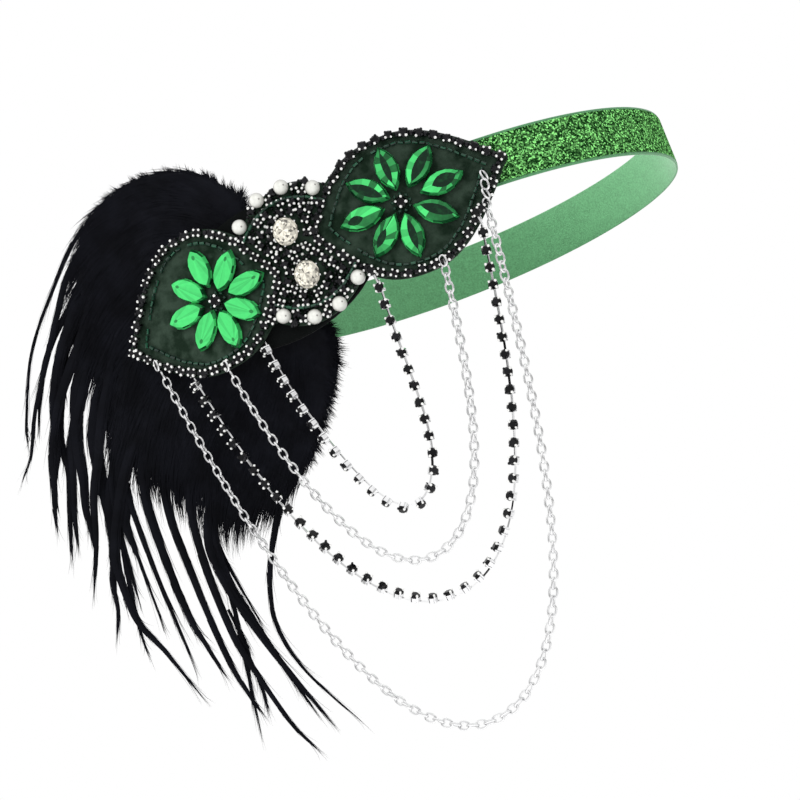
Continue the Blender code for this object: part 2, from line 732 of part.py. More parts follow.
def make_lock(lock, into_body):
    """Loft one feather or lock, ridged along its middle; a broad one reaches into the body."""
    sections = []
    nearby = 0.05
    for step, taper in enumerate(LOCK_TAPER):
        share = step / (len(LOCK_TAPER) - 1)
        before = lock_place(lock, share - nearby)
        after = lock_place(lock, share + nearby)
        run = math.hypot(after[0] - before[0], after[1] - before[1])
        half = lock.width * PLUME_SPAN / 2 * taper
        side_x = half * (before[1] - after[1]) / run
        side_z = half * (after[0] - before[0]) / run
        x, z = lock_place(lock, share)
        middle = lock.back * plume_depth(z)
        thick = lock.thickness * PLUME_SPAN / 2 * (1 - TIP_THINNING * share)
        near, far = middle - thick, middle + thick
        if into_body:
            near = min(near, plume_depth(z) / 2)
            far = max(far, plume_depth(z) / 2)
        sections.append((
            Vector((x - side_x, plume_front(x - side_x, z - side_z) + middle, z - side_z)),
            Vector((x, plume_front(x, z) + near, z)),
            Vector((x + side_x, plume_front(x + side_x, z + side_z) + middle, z + side_z)),
            Vector((x, plume_front(x, z) + far, z)),
        ))
    return loft("lock", sections)


def outer_skin(shape):
    """Delete what a union leaves inside: every island of faces but the largest."""
    unseen = set(shape.faces)
    islands = []
    while unseen:
        waiting = [unseen.pop()]
        island = []
        while waiting:
            face = waiting.pop()
            island.append(face)
            for edge in face.edges:
                for beside in edge.link_faces:
                    if beside in unseen:
                        unseen.remove(beside)
                        waiting.append(beside)
        islands.append(island)
    islands.sort(key=len)
    inner = [face for island in islands[:-1] for face in island]
    bmesh.ops.delete(shape, geom=inner, context="FACES")


def make_plume(collection, material):
    """Join the feathers and locks to the plume's body, one Boolean union each."""
    plume = add_object("feather_plume", make_plume_body(), collection, material)
    pieces = []
    for number, lock in enumerate(PLUME_FEATHERS + PLUME_LOCKS, start=1):
        piece = bpy.data.objects.new("lock_%d" % number, make_lock(lock, lock in PLUME_FEATHERS))
        collection.objects.link(piece)
        pieces.append(piece)
        union = plume.modifiers.new("lock_%d" % number, "BOOLEAN")
        union.operation = "UNION"
        union.object = piece
        union.solver = "MANIFOLD"
    evaluated = plume.evaluated_get(bpy.context.evaluated_depsgraph_get())
    mesh = bpy.data.meshes.new_from_object(evaluated)
    plume.modifiers.clear()
    for piece in pieces:
        bpy.data.objects.remove(piece)
    shape = bmesh.new()
    shape.from_mesh(mesh)
    outer_skin(shape)
    shape.to_mesh(mesh)
    shape.free()
    plume.data = mesh
    return plume


def main():
    for obj in list(bpy.data.objects):
        bpy.data.objects.remove(obj)
    parts = new_collection("feather_headband")
    ribbon = make_material("ribbon", (0.05, 0.32, 0.12), 0.6)
    felt = make_material("felt", (0.03, 0.05, 0.035), 0.95)
    emerald = make_material("emerald", (0.02, 0.35, 0.10), 0.1)
    clear = make_material("clear", (0.85, 0.86, 0.85), 0.1)
    jet = make_material("jet", (0.02, 0.02, 0.022), 0.2)
    pearl = make_material("pearl", (0.85, 0.84, 0.80), 0.25)
    silver = make_material("silver", (0.75, 0.75, 0.75), 0.25, 1.0)
    feather = make_material("feather", (0.012, 0.012, 0.016), 0.8)
    make_ribbon(parts, ribbon)
    make_felt_backing(parts, felt)
    make_feather_patch(parts, felt)
    make_flower("right", RIGHT_FLOWER, parts, emerald, jet)
    make_flower("left", LEFT_FLOWER, parts, emerald, jet)
    make_stone_bed(parts, jet)
    make_clear_stones(parts, clear)
    make_pearls(parts, pearl)
    for name, leaf in (("left_edging_stones", LEFT_LEAF), ("right_edging_stones", RIGHT_LEAF)):
        tube(name, edging_loop(leaf), EDGING_RADIUS, parts, jet, cyclic=True)
    for strand in CHAIN_STRANDS:
        make_chain_strand(strand, parts, silver)
    for strand in CUP_STRANDS:
        make_cup_strand(strand, parts, silver)
    make_plume(parts, feather)


main()
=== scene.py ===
"""Feather headband: the finish of its ribbon, felt, stones, pearls, strands and feathers.

The frame's axes hold here: Z up the wearer's head, the applique at the front (-Y), the plume
behind its left end. Lengths are in metres. Places on the applique are given as along (to the
right), up, and out from the arc that its back follows.
"""

import math
import random
from collections import namedtuple

import bmesh
import bpy
from mathutils import Matrix, Vector, noise
from mathutils.kdtree import KDTree


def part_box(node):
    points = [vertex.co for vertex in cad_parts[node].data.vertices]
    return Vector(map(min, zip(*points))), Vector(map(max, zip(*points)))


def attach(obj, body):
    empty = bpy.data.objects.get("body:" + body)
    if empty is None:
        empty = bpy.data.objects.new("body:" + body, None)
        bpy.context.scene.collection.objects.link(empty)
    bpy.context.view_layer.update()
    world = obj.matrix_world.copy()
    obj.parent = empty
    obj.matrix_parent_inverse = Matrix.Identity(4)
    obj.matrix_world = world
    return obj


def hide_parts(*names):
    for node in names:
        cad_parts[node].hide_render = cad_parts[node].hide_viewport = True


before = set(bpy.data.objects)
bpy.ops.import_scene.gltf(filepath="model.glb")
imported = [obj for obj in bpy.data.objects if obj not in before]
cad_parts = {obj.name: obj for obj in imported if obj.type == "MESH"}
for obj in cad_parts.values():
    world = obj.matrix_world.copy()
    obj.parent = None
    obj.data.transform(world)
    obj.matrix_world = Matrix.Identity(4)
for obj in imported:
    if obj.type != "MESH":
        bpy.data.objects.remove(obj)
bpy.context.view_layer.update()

bl_info = {
    "name": "Feather Headband",
    "version": (1, 0, 0),
    "blender": (4, 5, 0),
    "location": "3D View > Sidebar > Headband",
    "description": "Dresses a jewelled feather headband on its solid frame",
    "category": "Object",
}

# The layout that the solids share
FIT_GAP = 0.0003
RIBBON_LOW, RIBBON_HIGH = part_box("ribbon_loop")
LOOP_LENGTH, LOOP_DEPTH, RIBBON_WIDTH = RIBBON_HIGH - RIBBON_LOW
RIBBON_THICKNESS = 0.0012
APPLIQUE_RADIUS = 0.250
FELT_THICKNESS = 0.002
FELT_FRONT = FIT_GAP + FELT_THICKNESS
ON_FELT = FELT_FRONT + FIT_GAP
LEAF_HEIGHT = 0.0576
INNER_FULLNESS = 1.42
MEDALLION_ALONG, MEDALLION_UP = -0.0575, -0.006
MEDALLION_HEIGHT, MEDALLION_WIDTH = 0.0566, 0.050
MEDALLION_SLOPE, MEDALLION_LEAN = 0.057, 0.10
MEDALLION_ROUNDING = 0.0225
EDGING_INSET = 0.0015
PEARL_PITCH, PEARL_REACH, PEARL_ROUNDING = 0.0109, 0.0269, 0.0195
PEARL_RADIUS = 0.003
BED_THICKNESS = 0.0015
CLEAR_UPS = (0.0095, -0.0098)
CLEAR_WIDTH, CLEAR_HEIGHT, CLEAR_CLAW_GAP = 0.0104, 0.0118, 0.0002
BORDER_STONE_HEIGHT = 0.0024
CUP_PITCH = 0.007

Leaf = namedtuple("Leaf", "along up length outer_rise inner_rise side")
RIGHT_LEAF = Leaf(-0.011, -0.0045, 0.084, 0.0035, 0.0025, 1)
LEFT_LEAF = Leaf(-0.1045, -0.0068, 0.078, -0.0042, -0.0040, -1)

# A flower: its middle, its petals' size, the painted brightness of the windows of foil in them, and the
# petals
Flower = namedtuple("Flower", "along up petal_length petal_width foil petals")
# A petal: its turn from the along direction, its tip's reach as a share of half the leaf's height,
# the middle and size of its table's window as shares of the table's, and the painted light on the
# table to the left and to the right of the way from the flower's middle to the petal's tip
Petal = namedtuple("Petal", "turn reach window_along window_across window_length window_width left right")
RIGHT_FLOWER = Flower(-0.0136, -0.0039, 0.0175, 0.0086, 0.0, (
    Petal(5, 0.924, 0.32, 0.00, 0.62, 0.80, 0.75, 0.62),
    Petal(44, 0.863, 0.10, -0.18, 0.86, 0.62, 0.82, 0.30),
    Petal(92, 0.826, 0.02, 0.05, 0.80, 0.42, 0.72, 0.62),
    Petal(138, 0.808, 0.10, 0.25, 0.85, 0.62, 0.22, 0.80),
    Petal(180, 0.881, 0.55, 0.10, 0.40, 0.55, 0.80, 0.88),
    Petal(225, 0.814, 0.45, -0.30, 0.50, 0.45, 0.85, 0.40),
    Petal(268, 0.802, 0.05, 0.12, 0.78, 0.46, 0.45, 0.88),
    Petal(323, 0.814, 0.08, 0.25, 0.82, 0.60, 0.28, 0.85),
))
LEFT_FLOWER = Flower(-0.0965, -0.0090, 0.0160, 0.0078, 0.27, (
    Petal(4, 0.794, 0.70, 0.0, 0.14, 0.20, 0.92, 0.95),
    Petal(50, 0.722, 0.70, 0.1, 0.14, 0.20, 0.95, 0.95),
    Petal(96, 0.811, 0.72, 0.0, 0.14, 0.24, 0.95, 0.90),
    Petal(137, 0.744, 0.72, 0.0, 0.12, 0.20, 0.95, 0.95),
    Petal(180, 0.789, 0.70, 0.0, 0.12, 0.20, 0.95, 0.92),
    Petal(227, 0.717, 0.70, 0.0, 0.14, 0.24, 0.92, 0.95),
    Petal(276, 0.733, 0.74, 0.0, 0.12, 0.20, 0.95, 0.95),
    Petal(321, 0.717, 0.72, 0.0, 0.14, 0.24, 0.92, 0.95),
))

# The strands: where they hang as shares of half a leaf's length, their length, how far the lowest
# part swings to the right, and half the width of what hangs there
Strand = namedtuple("Strand", "left_share right_share length sway half_width")
STRAND_1 = Strand(-0.515, -0.52, 0.186, 0.008, 0.0009)
STRAND_2 = Strand(-0.055, 0.095, 0.237, 0.0025, 0.0011)
STRAND_3 = Strand(0.375, 0.545, 0.298, 0.004, 0.0009)
STRAND_4 = Strand(0.70, 0.65, 0.412, 0.003, 0.0011)
# How cups are turned: share of the strand's length, degrees from the front towards its outside
STRAND_1_TURNS = ((0.0, 60), (0.25, 65), (0.50, 66), (0.58, 42), (0.66, 6), (0.90, 0), (1.0, -15))
STRAND_3_TURNS = (
    (0.0, 50), (0.08, 40), (0.15, 0), (0.24, -30), (0.36, -48), (0.48, -66), (0.58, -50), (0.68, -10),
    (0.74, 0), (1.0, 5))

# The plume's depth behind the applique, as in the solid, and how far under it the barbs start
PLUME_STRAIGHT_FROM = -0.1176
PLUME_RADIUS = 0.2471
PLUME_SETBACK, PLUME_SETBACK_TOP, PLUME_SETBACK_HEIGHT = 0.005, -0.0276, 0.016
UNDER_FRONT = 0.0006

# The plume's dense mass from its top down: height, left and right edge, and depth
MassRow = namedtuple("MassRow", "up left right depth")
PLUME_MASS = [MassRow(*row) for row in (
    (0.0520, -0.122, -0.104, 0.003), (0.0485, -0.133, -0.093, 0.006), (0.0400, -0.143, -0.081, 0.009),
    (0.0280, -0.150, -0.072, 0.012), (0.0100, -0.154, -0.071, 0.014), (-0.0100, -0.154, -0.068, 0.014),
    (-0.0250, -0.157, -0.062, 0.013), (-0.0360, -0.157, -0.058, 0.012), (-0.0460, -0.153, -0.060, 0.011),
    (-0.0560, -0.147, -0.066, 0.010), (-0.0650, -0.137, -0.072, 0.009), (-0.0730, -0.130, -0.078, 0.007),
    (-0.0800, -0.124, -0.086, 0.005), (-0.0850, -0.117, -0.096, 0.002))]


def places_from(millimetres):
    """Return places right of the origin and up, from their whole millimetres in a row."""
    return [Vector((x / 1000, z / 1000)) for x, z in zip(millimetres[::2], millimetres[1::2])]


# The long pointed feathers: their width, how far behind the plume's front they lie, and the
# places that the middle of each passes through, in whole millimetres right of the origin and up
Plumelet = namedtuple("Plumelet", "width back places")
PLUMELETS = [Plumelet(width, back, places_from(places)) for width, back, places in (
    (0.0056, 0.004, (-112, 36, -134, 31, -148, 24, -157, 15, -164, 8, -170, 0, -175, -9, -179, -20, -182,
     -30, -188, -40, -191, -51)),
    (0.0042, 0.007, (-140, 22, -162, 9, -169, -3, -175, -14, -179, -25, -180, -35, -183, -45, -186, -57,
     -188, -67)),
    (0.0062, 0.005, (-122, 14, -144, 7, -156, -1, -164, -10, -169, -21, -173, -32, -176, -44, -179, -54,
     -180, -62, -182, -72)),
    (0.0070, 0.006, (-118, 2, -139, -5, -151, -12, -159, -21, -165, -32, -168, -43, -170, -56, -172, -68,
     -176, -79, -179, -91)),
    (0.0062, 0.004, (-118, -18, -137, -28, -151, -38, -159, -48, -161, -60, -165, -68, -165, -78, -165,
     -85)),
    (0.0016, 0.006, (-118, 47, -139, 48, -160, 32, -178, 13, -190, -11, -193, -21)),
    (0.0026, 0.004, (-125, 44, -148, 36, -161, 22, -173, 6, -185, -10, -193, -25, -201, -33)),
    (0.0030, 0.007, (-118, 36, -141, 29, -159, 20, -172, 9, -181, -5, -187, -18)),
    (0.0048, 0.003, (-115, 30, -139, 21, -157, 5, -172, -10, -183, -27, -191, -47, -194, -58)),
    (0.0042, 0.008, (-118, 24, -139, 12, -156, -1, -169, -18, -180, -36, -188, -56, -193, -71)),
    (0.0050, 0.005, (-115, 16, -137, 10, -154, -2, -166, -17, -176, -32, -184, -53, -188, -67)),
    (0.0048, 0.002, (-115, 6, -137, 0, -153, -19, -164, -36, -173, -51, -180, -71, -188, -88)),
    (0.0038, 0.006, (-130, -5, -151, -32, -164, -48, -171, -62, -174, -76, -179, -86, -181, -98, -186,
     -109)),
    (0.0046, 0.002, (-120, -15, -142, -35, -156, -48, -168, -66, -174, -80, -175, -94, -174, -107, -167,
     -124, -159, -147)),
    (0.0016, 0.004, (-170, -75, -172, -89, -174, -103, -175, -113, -175, -121)),
    (0.0026, 0.005, (-150, -30, -163, -46, -168, -66, -170, -87, -171, -99)),
    (0.0020, 0.006, (-150, -30, -162, -46, -165, -62, -165, -87, -165, -114)),
    (0.0024, 0.004, (-146, -30, -158, -47, -160, -62, -160, -88, -159, -112, -158, -136)),
    (0.0040, 0.003, (-133, -30, -147, -46, -153, -63, -154, -89, -153, -114, -150, -129, -147, -143)),
    (0.0034, 0.005, (-130, -40, -142, -58, -146, -74, -146, -100, -144, -135, -141, -152, -138, -162)),
    (0.0036, 0.002, (-118, -50, -131, -64, -137, -78, -139, -100, -138, -130, -134, -149, -128, -171, -121,
     -186)),
    (0.0024, 0.006, (-122, -65, -129, -81, -133, -96, -134, -116, -136, -131, -139, -150, -142, -169)),
    (0.0026, 0.004, (-124, -70, -131, -89, -132, -107, -127, -132, -121, -157, -117, -172)),
    (0.0034, 0.003, (-125, -70, -134, -89, -134, -107, -129, -129, -121, -154, -112, -179)),
    (0.0016, 0.007, (-122, -70, -130, -86, -131, -98, -129, -111, -126, -130)),
    (0.0026, 0.004, (-88, -70, -98, -84, -104, -94, -111, -105, -117, -118, -120, -134, -115, -155, -101,
     -182)),
    (0.0014, 0.007, (-137, -118, -135, -136, -138, -145, -141, -156)),
    (0.0010, 0.008, (-136, -130, -135, -151, -136, -161)))]

# How the mass's barbs flow from the quills out to the edges: places in whole millimetres
FLOW_LINES = [places_from(places) for places in (
    (-72, 20, -90, 44, -112, 53, -136, 49, -156, 34),
    (-76, 4, -95, 26, -120, 34, -145, 22, -166, -2),
    (-78, -6, -100, 8, -128, 6, -152, -14, -168, -44),
    (-80, -14, -104, -16, -132, -30, -150, -52, -156, -80),
    (-78, -22, -96, -36, -118, -54, -132, -74, -138, -96),
    (-74, -26, -86, -46, -102, -66, -118, -84, -126, -98),
    (-68, -28, -72, -48, -84, -70, -98, -86, -106, -94),
    (-62, -28, -58, -40, -64, -56, -74, -72, -84, -84))]


# Settings


def length_setting(name, description, default):
    return bpy.props.FloatProperty(
        name=name, description=description, default=default, min=0.0001, unit="LENGTH")


def color_setting(name, description, default):
    return bpy.props.FloatVectorProperty(
        name=name, description=description, default=default, subtype="COLOR")


def count_setting(name, description, default):
    return bpy.props.IntProperty(name=name, description=description, default=default, min=100)


class RibbonSettings(bpy.types.PropertyGroup):
    glitter_size: length_setting("Glitter size", "Width of one flake of glitter", 0.00058)
    edge_width: length_setting("Plain edge", "Width of the plain edge beside the glitter", 0.0009)
    velvet_color: color_setting("Velvet", "Colour of the ribbon's inner side", (0.094, 0.276, 0.124))


class FeltSettings(bpy.types.PropertyGroup):
    color: color_setting("Felt", "Colour of the felt backing", (0.003, 0.011, 0.005))
    # The lighter nap colour is mixed in clouds: partly the felt's uneven tone, partly painted sheen
    nap_and_sheen_color: color_setting("Nap", "Colour where the felt's nap is brushed", (0.032, 0.052, 0.037))


class StoneSettings(bpy.types.PropertyGroup):
    border_stone: length_setting("Border stone", "Width of a small claw-set stone", 0.0041)
    border_pitch: length_setting("Border pitch", "Distance between small stones in a row", 0.0055)
    strand_stone: length_setting("Strand stone", "Width of a stone in the hanging strands", 0.0043)
    bugle_length: length_setting("Bugle bead", "Length of a green bugle bead", 0.0024)
    emerald_color: color_setting("Emerald", "Colour of a green stone's bright facet", (0.072, 0.680, 0.175))


class StrandSettings(bpy.types.PropertyGroup):
    link_length: length_setting("Link length", "Outer length of a chain link", 0.00522)
    link_width: length_setting("Link width", "Outer width of a chain link", 0.0039)
    wire: length_setting("Wire", "Diameter of the links' wire", 0.00088)


class PlumeSettings(bpy.types.PropertyGroup):
    barbs: count_setting("Barbs", "Number of barbs on each face of the mass", 5200)
    fluff: count_setting("Fluff", "Number of fine fibres round the outline", 9000)
    color: color_setting("Feather", "Colour of the feathers", (0.0030, 0.0033, 0.0052))


class StageSettings(bpy.types.PropertyGroup):
    lens: bpy.props.FloatProperty(name="Lens", description="Focal length in millimetres", default=165.0)
    roll: bpy.props.FloatProperty(
        name="Roll", description="Turn of the camera about its view", default=math.radians(-21.0),
        subtype="ANGLE")
    key_power: bpy.props.FloatProperty(
        name="Key light", description="Power of the large light at the front", default=6.0, unit="POWER")


SETTINGS = {
    "headband_ribbon": RibbonSettings,
    "headband_felt": FeltSettings,
    "headband_stones": StoneSettings,
    "headband_strands": StrandSettings,
    "headband_plume": PlumeSettings,
    "headband_stage": StageSettings,
}


# Places on the applique


def polar(angle, radius_x=1.0, radius_y=1.0, z=0.0):
    return Vector((radius_x * math.cos(angle), radius_y * math.sin(angle), z))


def circle(count, start=0.0):
    """Return evenly spaced angles round a circle."""
    return [start + 2 * math.pi * step / count for step in range(count)]


def axes_matrix(x_axis, y_axis, z_axis, place):
    matrix = Matrix.Identity(4)
    for column, axis in enumerate((x_axis, y_axis, z_axis, place)):
        matrix.col[column][:3] = axis
    return matrix


def applique_matrix(along, up, out, turn=0.0):
    """Return the placement of a stone: its Z outwards and its X turned from the along direction."""
    angle = along / APPLIQUE_RADIUS
    out_axis = Vector((math.sin(angle), -math.cos(angle), 0.0))
    x_axis = math.cos(turn) * polar(angle) + math.sin(turn) * Vector((0.0, 0.0, 1.0))
    place = (APPLIQUE_RADIUS + out) * out_axis + Vector((0.0, APPLIQUE_RADIUS - LOOP_DEPTH / 2, up))
    return axes_matrix(x_axis, out_axis.cross(x_axis), out_axis, place)


def leaf_share(leaf, along):
    return leaf.side * (along - leaf.along) / (leaf.length / 2)


def leaf_axis(leaf, share):
    rise = leaf.outer_rise if share > 0 else leaf.inner_rise
    return leaf.up + rise * share * share


def leaf_half_height(share, height=LEAF_HEIGHT):
    if abs(share) >= 1:
        return 0.0
    fullness = 1.0 if share > 0 else INNER_FULLNESS
    return height / 2 * math.cos(math.pi / 2 * abs(share) ** fullness)


def leaf_loop(leaf, inset):
    """Return the places of a line inside a leaf's edge, as (along, up)."""
    places = []
    for angle in circle(360):
        share = math.cos(angle)
        half = leaf_half_height(share, LEAF_HEIGHT - 2 * inset)
        up = leaf_axis(leaf, share) + math.copysign(half, math.sin(angle))
        places.append((leaf.along + leaf.side * share * (leaf.length / 2 - 2 * inset), up))
    return places


def in_leaf(leaf, along, up, margin):
    share = leaf_share(leaf, along)
    return abs(up - leaf_axis(leaf, share)) < leaf_half_height(share) + margin


def medallion_place(offset, height):
    along = MEDALLION_ALONG + offset - MEDALLION_LEAN * height
    return along, MEDALLION_UP + MEDALLION_SLOPE * offset + height


def medallion_arc(side, reach, step_length):
    """Return the places of an arc above (side 1) or below (side -1) the medallion's middle."""
    offsets = [(step - 20) * step_length for step in range(41)]
    return [medallion_place(x, side * (reach - x * x / (2 * PEARL_ROUNDING))) for x in offsets]


def medallion_span(along):
    """Return the medallion's middle and half its height at a place, or none beyond its sides."""
    offset = along - MEDALLION_ALONG
    if abs(offset) > MEDALLION_WIDTH / 2:
        return None
    half = MEDALLION_HEIGHT / 2 - offset * offset / (2 * MEDALLION_ROUNDING)
    return MEDALLION_UP + MEDALLION_SLOPE * offset, half


def felt_bottom(along):
    thinnest = 0.0006
    bottoms = []
    for leaf in (LEFT_LEAF, RIGHT_LEAF):
        share = leaf_share(leaf, along)
        if abs(share) <= 1:
            bottoms.append(leaf_axis(leaf, share) - max(leaf_half_height(share), thinnest))
    span = medallion_span(along)
    if span:
        bottoms.append(span[0] - span[1])
    return min(bottoms)


def even_places(places, pitch, closed=True):
    """Return evenly spaced (along, up, turn) places on a line of (along, up) places."""
    points = [Vector(place) for place in places]
    if closed:
        points.append(points[0])
    lengths = [0.0]
    for before, after in zip(points, points[1:]):
        lengths.append(lengths[-1] + (after - before).length)
    count = max(round(lengths[-1] / pitch), 1)
    result = []
    index = 0
    for number in range(count if closed else count + 1):
        distance = lengths[-1] * number / count
        while index < len(points) - 2 and lengths[index + 1] < distance:
            index += 1
        run = points[index + 1] - points[index]
        share = (distance - lengths[index]) / max(lengths[index + 1] - lengths[index], 1e-9)
        place = points[index] + share * run
        result.append((place.x, place.y, math.atan2(run.y, run.x)))
    return result


# Meshes


class Shape:
    """Points and faces gathered for one mesh; each face has a material and a painted brightness, which the
    stones' materials read as painted light.
    """

    def __init__(self, points=(), faces=(), slot=0, painted_lights=0.5):
        self.points, self.faces, self.slots, self.painted_lights = [], [], [], []
        self.add(points, faces, slot, painted_lights)

    def add(self, points, faces, slot=0, painted_lights=0.5):
        start = len(self.points)
        self.points.extend(points)
        self.faces.extend(tuple(start + corner for corner in face) for face in faces)
        self.slots.extend([slot] * len(faces))
        self.painted_lights.extend(painted_lights if isinstance(painted_lights, list) else [painted_lights] * len(faces))

    def stamp(self, shape, matrix):
        """Add a copy of another shape, placed by a matrix."""
        start = len(self.points)
        self.points.extend(matrix @ Vector(point) for point in shape.points)
        self.faces.extend(tuple(start + corner for corner in face) for face in shape.faces)
        self.slots.extend(shape.slots)
        self.painted_lights.extend(shape.painted_lights)

    def to_piece(self, name, materials, slot, node=None, smooth=None, matrix=None, outwards=False):
        """Make the object, smooth up to an angle in degrees, and let it ride on the frame.

        The slot is not used; the object stands for the solid or solids that it replaces.
        """
        mesh = bpy.data.meshes.new(name)
        mesh.from_pydata([tuple(point) for point in self.points], [], self.faces)
        for material_name in materials:
            mesh.materials.append(material(material_name))
        mesh.polygons.foreach_set("material_index", self.slots)
        # Each face's painted brightness, which the stones' facet colour reads as painted light
        mesh.attributes.new("glow", "FLOAT", "FACE").data.foreach_set("value", self.painted_lights)
        if smooth is not None:
            mesh.shade_smooth()
            mesh.set_sharp_from_angle(angle=math.radians(smooth))
        if outwards:
            point_outwards(mesh)
        mesh.update()
        piece = bpy.data.objects.new(name, mesh)
        if matrix:
            piece.matrix_world = matrix
        bpy.context.scene.collection.objects.link(piece)
        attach(piece, "root")
        if node:
            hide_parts(*([node] if isinstance(node, str) else node))
        return piece


def loft_faces(sections, sides, closed=False, caps=True):
    faces = []
    for section in range(sections if closed else sections - 1):
        here, there = section * sides, (section + 1) % sections * sides
        for side in range(sides):
            beside = (side + 1) % sides
            faces.append((here + side, here + beside, there + beside, there + side))
    if caps and not closed:
        last = (sections - 1) * sides
        faces += [tuple(range(sides - 1, -1, -1)), tuple(range(last, last + sides))]
    return faces


def ring(radius, height, sides, start=0.0):
    return [polar(angle, radius, radius, height) for angle in circle(sides, start)]


def ball(radius, segments=8, rings=6, squash=1.0, slot=0, glow=0.5):
    """Return the shape of a small ball."""
    grid = bmesh.new()
    bmesh.ops.create_uvsphere(grid, u_segments=segments, v_segments=rings, radius=radius)
    points = [Vector((vert.co.x, vert.co.y, vert.co.z * squash)) for vert in grid.verts]
    faces = [tuple(vert.index for vert in face.verts) for face in grid.faces]
    grid.free()
    return Shape(points, faces, slot, glow)


def diamond(middle, first, second):
    """Return the four corners of a section from its middle and its two half axes."""
    return [middle + first, middle + second, middle - first, middle - second]


def random_vector(rng, size=3):
    return Vector([rng.uniform(-1, 1) for _ in range(size)])


def point_outwards(mesh):
    """Point a closed mesh's faces outwards."""
    grid = bmesh.new()
    grid.from_mesh(mesh)
    bmesh.ops.recalc_face_normals(grid, faces=grid.faces)
    grid.to_mesh(mesh)
    grid.free()


def smooth_path(points, steps=8):
    """Return points on a smooth curve through the given points, with steps in each span."""
    padded = [2 * points[0] - points[1]] + list(points) + [2 * points[-1] - points[-2]]
    result = []
    for before, start, end, after in zip(padded, padded[1:], padded[2:], padded[3:]):
        for step in range(steps):
            t = step / steps
            result.append(0.5 * (
                2 * start + (end - before) * t + (2 * before - 5 * start + 4 * end - after) * t ** 2
                + (3 * start - before - 3 * end + after) * t ** 3))
    result.append(points[-1].copy())
    return result


# Shader nodes


def set_ramp(node, stops):
    """Set a ramp's stops, each given as its position and its level of grey."""
    elements = node.color_ramp.elements
    for position, _ in stops[1:-1]:
        elements.new(position)
    for element, (position, level) in zip(elements, stops):
        element.position = position
        element.color = (level, level, level, 1)


def add_nodes(tree, nodes):
    """Add nodes, given as name, kind and what their properties and sockets hold.

    A socket's text names the node and the output that it is linked to.
    """
    for column, (name, kind, values) in enumerate(nodes):
        node = tree.nodes.get(name) or tree.nodes.new(kind)
        node.name = name
        node.location = (180 * column - 900, -150 * (column % 3))
        for key, value in values.items():
            if key == "stops":
                set_ramp(node, value)
            elif isinstance(key, str) and key not in node.inputs:
                setattr(node, key, value)
            elif isinstance(value, str):
                source, output = value.split(".")
                tree.links.new(tree.nodes[source].outputs[output], node.inputs[key])
            else:
                node.inputs[key].default_value = value


# Shared groups: the inputs' defaults, the outputs and the nodes
GROUPS = {
    # Flakes of random tilt, with a random brightness that paints their glints
    "Glitter flakes": (
        {"Flakes per metre": 2400.0, "Dark": (0, 0.05, 0.01, 1), "Bright": (0.3, 0.9, 0.3, 1)},
        ("Color", "Roughness", "Height"), (
            ("place", "ShaderNodeTexCoord", {}),
            ("cells", "ShaderNodeTexVoronoi", {
                "feature": "F1", "Vector": "place.Object", "Scale": "start.Flakes per metre"}),
            ("split", "ShaderNodeSeparateColor", {"Color": "cells.Color"}),
            ("ramp", "ShaderNodeValToRGB", {
                "stops": ((0.0, 0.0), (0.36, 0.03), (0.60, 0.20), (0.82, 0.50), (0.96, 1.0)),
                "Fac": "split.Red"}),
            ("mix", "ShaderNodeMix", {
                "data_type": "RGBA", "Factor": "ramp.Color", "A": "start.Dark", "B": "start.Bright"}),
            ("rough", "ShaderNodeMapRange", {"To Min": 0.18, "To Max": 0.55, "Value": "split.Green"}),
            ("end", "", {"Color": "mix.Result", "Roughness": "rough.Result", "Height": "split.Blue"}))),
    # Fine cloudy grain between two colours, with a height for bump
    "Cloth grain": (
        {"Cloud scale": 120.0, "Grain scale": 2500.0, "Grain": 0.35, "Color A": (0.1, 0.1, 0.1, 1),
         "Color B": (0.2, 0.2, 0.2, 1)},
        ("Color", "Height"), (
            ("place", "ShaderNodeTexCoord", {}),
            ("cloud", "ShaderNodeTexNoise", {
                "Detail": 4.0, "Vector": "place.Object", "Scale": "start.Cloud scale"}),
            ("grain", "ShaderNodeTexNoise", {
                "Detail": 2.0, "Vector": "place.Object", "Scale": "start.Grain scale"}),
            ("level", "ShaderNodeMapRange", {"From Min": 0.38, "From Max": 0.62, "Value": "cloud.Fac"}),
            ("blend", "ShaderNodeMix", {
                "data_type": "FLOAT", "Factor": "start.Grain", "A": "level.Result", "B": "grain.Fac"}),
            ("mix", "ShaderNodeMix", {
                "data_type": "RGBA", "Factor": "blend.Result", "A": "start.Color A", "B": "start.Color B"}),
            ("end", "", {"Color": "mix.Result", "Height": "grain.Fac"}))),
    # Colour of a foiled stone from the painted light that each facet holds (painted glints, reflections and
    # shade), a little cloudy
    "Facet color": (
        {"Dark": (0, 0, 0, 1), "Bright": (1, 1, 1, 1), "Cloud": 0.12, "Cloud scale": 500.0},
        ("Color",), (
            ("glow", "ShaderNodeAttribute", {"attribute_name": "glow"}),
            ("place", "ShaderNodeTexCoord", {}),
            ("cloud", "ShaderNodeTexNoise", {"Vector": "place.Object", "Scale": "start.Cloud scale"}),
            ("centred", "ShaderNodeMath", {"operation": "SUBTRACT", 0: "cloud.Fac", 1: 0.5}),
            ("scaled", "ShaderNodeMath", {"operation": "MULTIPLY", 0: "centred.Value", 1: "start.Cloud"}),
            ("total", "ShaderNodeMath", {
                "operation": "ADD", "use_clamp": True, 0: "glow.Fac", 1: "scaled.Value"}),
            ("mix", "ShaderNodeMix", {
                "data_type": "RGBA", "Factor": "total.Value", "A": "start.Dark", "B": "start.Bright"}),
            ("end", "", {"Color": "mix.Result"}))),
}


